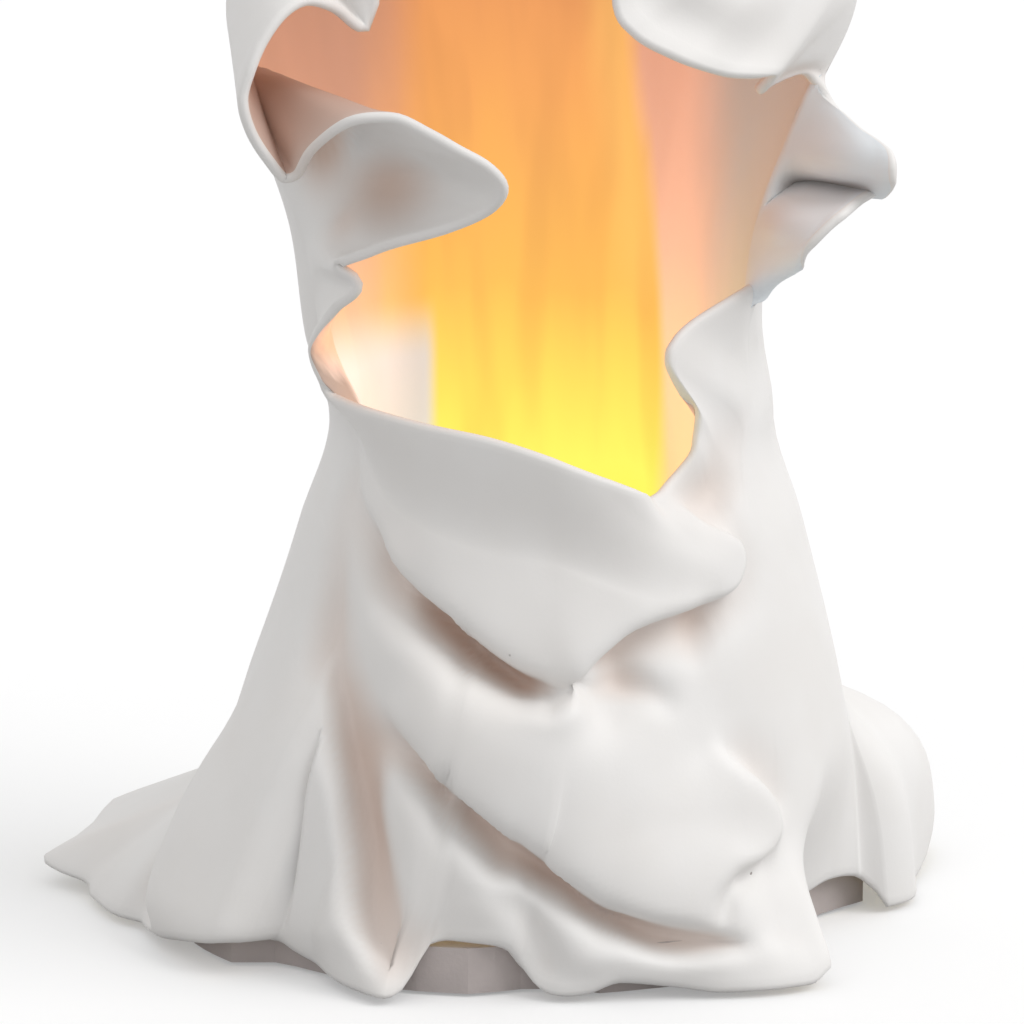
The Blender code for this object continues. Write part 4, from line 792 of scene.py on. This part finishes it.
def resin_surface(tree, shader):
    """Cast resin: faint mottling, a fine grain and a few pinholes. Gives back the pinholes' mask, by which
    the pinholes are painted dark as shade.
    """
    place = add_node(tree, "ShaderNodeTexCoord")
    mottle = add_node(tree, "ShaderNodeTexNoise", Scale=28.0, Detail=3.0)
    grain = add_node(tree, "ShaderNodeTexNoise", Scale=900.0, Detail=4.0, Roughness=0.6)
    holes = add_node(tree, "ShaderNodeTexVoronoi", Scale=26.0, Randomness=1.0)
    for texture in (mottle, grain, holes):
        tree.links.new(place.outputs["Object"], texture.inputs["Vector"])
    rough = add_node(tree, "ShaderNodeMapRange", To_Min=0.52, To_Max=0.68)
    tree.links.new(mottle.outputs["Fac"], rough.inputs["Value"])
    tree.links.new(rough.outputs["Result"], shader.inputs["Roughness"])
    pit = add_node(tree, "ShaderNodeMapRange", From_Min=0.008, From_Max=0.016, To_Min=0.0, To_Max=1.0)
    tree.links.new(holes.outputs["Distance"], pit.inputs["Value"])
    height = add_node(tree, "ShaderNodeMath", operation="MULTIPLY_ADD")
    height.inputs[1].default_value = 0.12
    tree.links.new(grain.outputs["Fac"], height.inputs[0])
    tree.links.new(pit.outputs["Result"], height.inputs[2])
    bump = add_node(tree, "ShaderNodeBump", Strength=0.35, Distance=0.0006)
    tree.links.new(height.outputs["Value"], bump.inputs["Height"])
    tree.links.new(bump.outputs["Normal"], shader.inputs["Normal"])
    return place, mottle, pit


def colour_ramp(tree, stops):
    """A colour ramp with the given positions and colours."""
    made = add_node(tree, "ShaderNodeValToRGB")
    ramp = made.color_ramp
    while len(ramp.elements) < len(stops):
        ramp.elements.new(0.5)
    for element, (position, colour) in zip(ramp.elements, stops):
        element.position = position
        element.color = (*colour, 1)
    return made


resin, resin_shader = new_material("cast_resin")
resin_tree = resin.node_tree
place, mottle, pit = resin_surface(resin_tree, resin_shader)
whites = colour_ramp(resin_tree, ((0.35, (0.785, 0.765, 0.745)), (0.65, (0.815, 0.80, 0.785))))
resin_tree.links.new(mottle.outputs["Fac"], whites.inputs["Fac"])
# Painted shade: the cloth's hollows and dents are darkened towards a warm brown, the deeper ones more.
hollows = add_node(resin_tree, "ShaderNodeAttribute", attribute_name="hollow")
hollow_shaded = mixed(resin_tree, hollows.outputs["Fac"], whites.outputs["Color"], (0.70, 0.55, 0.47, 1))
# Painted shade: the pinholes are painted a dark brown-grey.
pinhole_shaded = mixed(resin_tree, pit.outputs["Result"], (0.30, 0.27, 0.25, 1), hollow_shaded)
resin_tree.links.new(pinhole_shaded, resin_shader.inputs["Base Color"])
cloak_mesh.materials.append(resin)

# Painted light: the lamp's light on the inner wall is painted into it as emission, yellow by the lamp,
# orange above it, peach at the sides, with a painted pale patch of light where the left side turns towards
# the viewer.
# Faint upright streaks in the painted light show where the resin is thinner. The places in this material
# are metres to the viewer's right, and up.
painted_glow_resin, glow_shader = new_material("resin_painted_lamp_glow")
glow_tree = painted_glow_resin.node_tree
place, mottle, pit = resin_surface(glow_tree, glow_shader)
axes = add_node(glow_tree, "ShaderNodeSeparateXYZ")
glow_tree.links.new(place.outputs["Object"], axes.inputs["Vector"])
sideways, upward = axes.outputs["X"], axes.outputs["Z"]
streak_place = add_node(glow_tree, "ShaderNodeMapping", vector_type="POINT")
streak_place.inputs["Scale"].default_value = (60, 60, 6)
glow_tree.links.new(place.outputs["Object"], streak_place.inputs["Vector"])
streaks = add_node(glow_tree, "ShaderNodeTexNoise", Scale=1.0, Detail=2.0)
glow_tree.links.new(streak_place.outputs["Vector"], streaks.inputs["Vector"])
sway = combined(glow_tree, "MULTIPLY", streaks.outputs["Fac"], 0.010)
across = combined(glow_tree, "ADD", sideways, sway)
height = combined(glow_tree, "MULTIPLY", streaks.outputs["Fac"], -0.03)
height = combined(glow_tree, "ADD", upward, height)
up = add_node(glow_tree, "ShaderNodeMapRange", From_Min=0.085, From_Max=0.385)
glow_tree.links.new(height, up.inputs["Value"])
lamp_glow_ramp = colour_ramp(glow_tree, (
    (0.00, (0.90, 0.92, 0.10)), (0.07, (0.93, 0.91, 0.12)), (0.16, (0.97, 0.72, 0.10)),
    (0.26, (0.97, 0.50, 0.085)), (0.45, (0.88, 0.37, 0.10)), (0.66, (0.70, 0.25, 0.10)),
    (0.85, (0.30, 0.10, 0.05)), (1.00, (0.06, 0.02, 0.01)),
))
side_glow_ramp = colour_ramp(glow_tree, (
    (0.00, (0.80, 0.48, 0.22)), (0.16, (0.74, 0.40, 0.20)), (0.30, (0.58, 0.27, 0.17)),
    (0.50, (0.44, 0.18, 0.11)), (0.70, (0.22, 0.09, 0.06)), (1.00, (0.03, 0.01, 0.01)),
))
for ramp in (lamp_glow_ramp, side_glow_ramp):
    glow_tree.links.new(up.outputs["Result"], ramp.inputs["Fac"])
right_end = smooth_step(glow_tree, upward, 0.16, 0.28, 0.054, 0.044)
past_right = combined(glow_tree, "SUBTRACT", across, right_end)
from_left = smooth_step(glow_tree, across, -0.040, -0.012)
until_right = smooth_step(glow_tree, past_right, -0.002, 0.004, 1.0, 0.0)
middle = combined(glow_tree, "MULTIPLY", from_left, until_right)
painted_glow_colour = mixed(glow_tree, middle, side_glow_ramp.outputs["Color"], lamp_glow_ramp.outputs["Color"])
# Painted light: an orange fringe along the glow's right edge.
fringe = combined(glow_tree, "MULTIPLY", smooth_step(glow_tree, past_right, -0.016, -0.004), until_right)
fringe = combined(glow_tree, "MULTIPLY", fringe, smooth_step(glow_tree, upward, 0.16, 0.20))
painted_glow_colour = mixed(glow_tree, combined(glow_tree, "MULTIPLY", fringe, 0.35), painted_glow_colour, (1.0, 0.62, 0.16, 1))
# A painted pale patch of light, low on the left of the inner wall.
pale_across = smooth_step(glow_tree, sideways, -0.020, -0.015, 1.0, 0.0)
pale_up = smooth_step(glow_tree, upward, 0.158, 0.178, 1.0, 0.0)
painted_pale_patch = combined(glow_tree, "MULTIPLY", pale_across, pale_up)
painted_glow_colour = mixed(glow_tree, combined(glow_tree, "MULTIPLY", painted_pale_patch, 0.9), painted_glow_colour, (0.72, 0.69, 0.68, 1))
streak_share = smooth_step(glow_tree, streaks.outputs["Fac"], 0.3, 0.7, 0.90, 1.05)
reached = add_node(glow_tree, "ShaderNodeAttribute", attribute_name="lamp_light")
light = combined(glow_tree, "MULTIPLY", reached.outputs["Fac"], streak_share)
far_left = smooth_step(glow_tree, sideways, -0.043, -0.024, 0.4, 0.0)
high_left = combined(glow_tree, "MULTIPLY", far_left, smooth_step(glow_tree, upward, 0.19, 0.23))
light = combined(glow_tree, "MULTIPLY", light, combined(glow_tree, "SUBTRACT", 1.0, high_left))
in_wing = smooth_step(glow_tree, sideways, 0.055, 0.075)
light = combined(glow_tree, "MULTIPLY", light, combined(glow_tree, "SUBTRACT", 1.0, in_wing))
# Painted light: the lamp's light on the wall, given as emission.
glow_tree.links.new(mixed(glow_tree, light, (0.0, 0.0, 0.0, 1), painted_glow_colour), glow_shader.inputs["Emission Color"])
glow_shader.inputs["Emission Strength"].default_value = 1.0
# Where the painted light is strongest the base colour is nearly black, so the painted light alone gives
# the colour.
dark_share = combined(glow_tree, "MULTIPLY", middle, reached.outputs["Fac"])
# Painted shade: away from the wing the inner wall's base colour is a warm tan, the shade there tinted by
# the glow. Near the hem the wall keeps the plain resin colour.
wall_colour = mixed(glow_tree, in_wing, (0.62, 0.47, 0.40, 1), (0.79, 0.83, 0.86, 1))
wall_colour = mixed(glow_tree, dark_share, wall_colour, (0.10, 0.06, 0.03, 1))
by_hem = smooth_step(glow_tree, upward, 0.025, 0.060, 1.0, 0.0)
wall_colour = mixed(glow_tree, by_hem, wall_colour, (0.79, 0.77, 0.75, 1))
# Painted shade: the dents in the wing are darkened towards a grey brown.
dents = add_node(glow_tree, "ShaderNodeAttribute", attribute_name="hollow").outputs["Fac"]
wing_dent_shade = combined(glow_tree, "MULTIPLY", dents, in_wing)
wall_colour = mixed(glow_tree, wing_dent_shade, wall_colour, (0.36, 0.31, 0.28, 1))
glow_tree.links.new(wall_colour, glow_shader.inputs["Base Color"])
cloak_mesh.materials.append(painted_glow_resin)
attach(cloak, "statue")
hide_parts("cloak_shell")


# Base and feet
# The base plate is cast resin, rougher than the finished cloak, and is glued inside the hem. Its darker,
# greyer colour is painted shade, for the shadow under the hem. The four feet are moulded rubber, glued
# under it.
def vary_roughness(tree, shader, noise, roughness, spread):
    """Lets a noise texture shift the roughness by up to the spread, either way."""
    rough = smooth_step(tree, noise.outputs["Fac"], 0.3, 0.7, roughness - spread, roughness + spread)
    tree.links.new(rough, shader.inputs["Roughness"])


def grained(name, colour, roughness, grain_scale, grain_depth, metallic=0.0):
    """A moulded or machined surface whose colour and roughness vary a little, with a fine grain."""
    made, shader = new_material(name)
    tree = made.node_tree
    place = add_node(tree, "ShaderNodeTexCoord")
    cloud = add_node(tree, "ShaderNodeTexNoise", Scale=90.0, Detail=3.0)
    grain = add_node(tree, "ShaderNodeTexNoise", Scale=grain_scale, Detail=3.0)
    for texture in (cloud, grain):
        tree.links.new(place.outputs["Object"], texture.inputs["Vector"])
    darker = (*(part * 0.85 for part in colour), 1)
    lighter = (*(min(part * 1.12, 1) for part in colour), 1)
    tint = mixed(tree, cloud.outputs["Fac"], darker, lighter)
    tree.links.new(tint, shader.inputs["Base Color"])
    vary_roughness(tree, shader, cloud, roughness, 0.06)
    shader.inputs["Metallic"].default_value = metallic
    bump = add_node(tree, "ShaderNodeBump", Strength=0.3, Distance=grain_depth)
    tree.links.new(grain.outputs["Fac"], bump.inputs["Height"])
    tree.links.new(bump.outputs["Normal"], shader.inputs["Normal"])
    return made


def dress(material, *names):
    """Gives a material to the frame's nodes of these names, with or without a number behind the name."""
    for name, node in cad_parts.items():
        if name.rstrip("_0123456789") in names:
            for slot in node.material_slots:
                slot.material = material


# painted shade: the base plate's colour is darkened for the shadow under the hem
dress(grained("base_resin_painted_shade", (0.50, 0.445, 0.43), 0.7, 900, 0.0004), "base_plate")
dress(grained("rubber", (0.03, 0.03, 0.03), 0.85, 1400, 0.0003), "foot")


# Battery box, switch and screws
# Black moulded plastic with a spark-eroded grain, zinc-plated steel, and cells in plain green sleeves
# with a gold band at the nub.
def band_colours(name, axis, roughness, metallic, stops):
    """A material in bands along one axis of the frame, at the given places in metres."""
    made, shader = new_material(name)
    tree = made.node_tree
    place = add_node(tree, "ShaderNodeTexCoord")
    axes = add_node(tree, "ShaderNodeSeparateXYZ")
    tree.links.new(place.outputs["Object"], axes.inputs["Vector"])
    first, last = stops[0][0], stops[-1][0]
    along = add_node(tree, "ShaderNodeMapRange")
    along.inputs["From Min"].default_value = first
    along.inputs["From Max"].default_value = last
    tree.links.new(axes.outputs[axis], along.inputs["Value"])
    bands = colour_ramp(tree, [((at - first) / (last - first), colour) for at, colour in stops])
    bands.color_ramp.interpolation = "CONSTANT"
    tree.links.new(along.outputs["Result"], bands.inputs["Fac"])
    wear = add_node(tree, "ShaderNodeTexNoise", Scale=160.0, Detail=3.0)
    tree.links.new(place.outputs["Object"], wear.inputs["Vector"])
    shade = mixed(tree, wear.outputs["Fac"], (0.86, 0.86, 0.86, 1), (1.0, 1.0, 1.0, 1))
    shaded = mixed(tree, 1.0, bands.outputs["Color"], shade, "MULTIPLY")
    tree.links.new(shaded, shader.inputs["Base Color"])
    vary_roughness(tree, shader, wear, roughness, 0.05)
    shader.inputs["Metallic"].default_value = metallic
    return made


plastic = grained("black_plastic", (0.028, 0.028, 0.03), 0.48, 1600, 0.0004)
zinc = grained("zinc_steel", (0.62, 0.62, 0.63), 0.32, 700, 0.0002, 1.0)
dress(plastic, "battery_box", "battery_door")
dress(zinc, "box_screw", "riser_screw", "door_screw", "hinge_pin", "spring", "contact", "switch_body")
white = grained("white_plastic", (0.72, 0.71, 0.69), 0.42, 1200, 0.0003)
dress(white, "lamp_riser", "dome_ring", "switch_slider")
SLEEVE_GREEN = (0.10, 0.22, 0.16)
BAND_GOLD = (0.60, 0.44, 0.16)
CELL_STEEL = (0.66, 0.65, 0.62)
for number in (1, 2, 3):
    low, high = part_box(f"battery_{number}")
    nub_y, flat_y = (high[1], low[1]) if number % 2 else (low[1], high[1])
    length = flat_y - nub_y
    stops = (
        (flat_y, SLEEVE_GREEN), (nub_y + length * 0.3, BAND_GOLD), (nub_y + length * 0.03, CELL_STEEL),
        (nub_y, CELL_STEEL),
    )
    sleeve = band_colours(f"cell_sleeve_{number}", "Y", 0.33, 0.2, stops)
    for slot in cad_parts[f"battery_{number}"].material_slots:
        slot.material = sleeve


# Lamp and timer
# Three amber bulbs glow under a frosted dome, over a green board with tinned pads. The timer board has a
# chip and a capacitor, and its red and black leads run up to the light board.
def glowing_plastic(name, roughness, dim, bright):
    """Translucent plastic that is lit from inside, a little unevenly."""
    made, shader = new_material(name)
    tree = made.node_tree
    place = add_node(tree, "ShaderNodeTexCoord")
    cloud = add_node(tree, "ShaderNodeTexNoise", Scale=70.0, Detail=2.0)
    tree.links.new(place.outputs["Object"], cloud.inputs["Vector"])
    glow = mixed(tree, cloud.outputs["Fac"], dim, bright)
    tree.links.new(glow, shader.inputs["Emission Color"])
    tree.links.new(glow, shader.inputs["Base Color"])
    shader.inputs["Emission Strength"].default_value = 1.0
    vary_roughness(tree, shader, cloud, roughness, 0.05)
    return made


def circuit_board(name):
    """Green board with copper tracks under the mask and tinned pads."""
    made, shader = new_material(name)
    tree = made.node_tree
    place = add_node(tree, "ShaderNodeTexCoord")
    tracks = add_node(tree, "ShaderNodeTexVoronoi", Scale=260.0, feature="DISTANCE_TO_EDGE")
    pads = add_node(tree, "ShaderNodeTexVoronoi", Scale=300.0)
    for texture in (tracks, pads):
        tree.links.new(place.outputs["Object"], texture.inputs["Vector"])
    track = smooth_step(tree, tracks.outputs["Distance"], 0.03, 0.05, 1.0, 0.0)
    pad = smooth_step(tree, pads.outputs["Distance"], 0.14, 0.18, 1.0, 0.0)
    green = mixed(tree, track, (0.03, 0.18, 0.09, 1), (0.06, 0.30, 0.13, 1))
    tree.links.new(mixed(tree, pad, green, (0.66, 0.66, 0.66, 1)), shader.inputs["Base Color"])
    tree.links.new(combined(tree, "MULTIPLY", pad, 0.9), shader.inputs["Metallic"])
    shader.inputs["Roughness"].default_value = 0.38
    return made


dome = glowing_plastic("frosted_dome", 0.55, (0.90, 0.62, 0.18, 1), (0.98, 0.80, 0.34, 1))
dress(dome, "lamp_dome")
amber = glowing_plastic("amber_bulb", 0.15, (1.0, 0.60, 0.12, 1), (1.0, 0.82, 0.30, 1))
dress(amber, "bulb")
dress(circuit_board("board"), "light_board", "timer_board")
dress(grained("chip_epoxy", (0.03, 0.03, 0.033), 0.55, 1800, 0.0002), "timer_chip")
dress(grained("red_sleeve", (0.55, 0.03, 0.03), 0.42, 900, 0.0001), "red_lead")
dress(grained("black_sleeve", (0.02, 0.02, 0.02), 0.42, 900, 0.0001), "black_lead")
low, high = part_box("capacitor")
CAN_SLEEVE = (0.03, 0.04, 0.09)
CAN_TOP = (0.70, 0.70, 0.71)
rim = high[2] - 0.0003
stops = ((low[2], CAN_SLEEVE), (rim, CAN_TOP), (high[2], CAN_TOP))
can = band_colours("capacitor_can", "Z", 0.3, 0.1, stops)
dress(can, "capacitor")
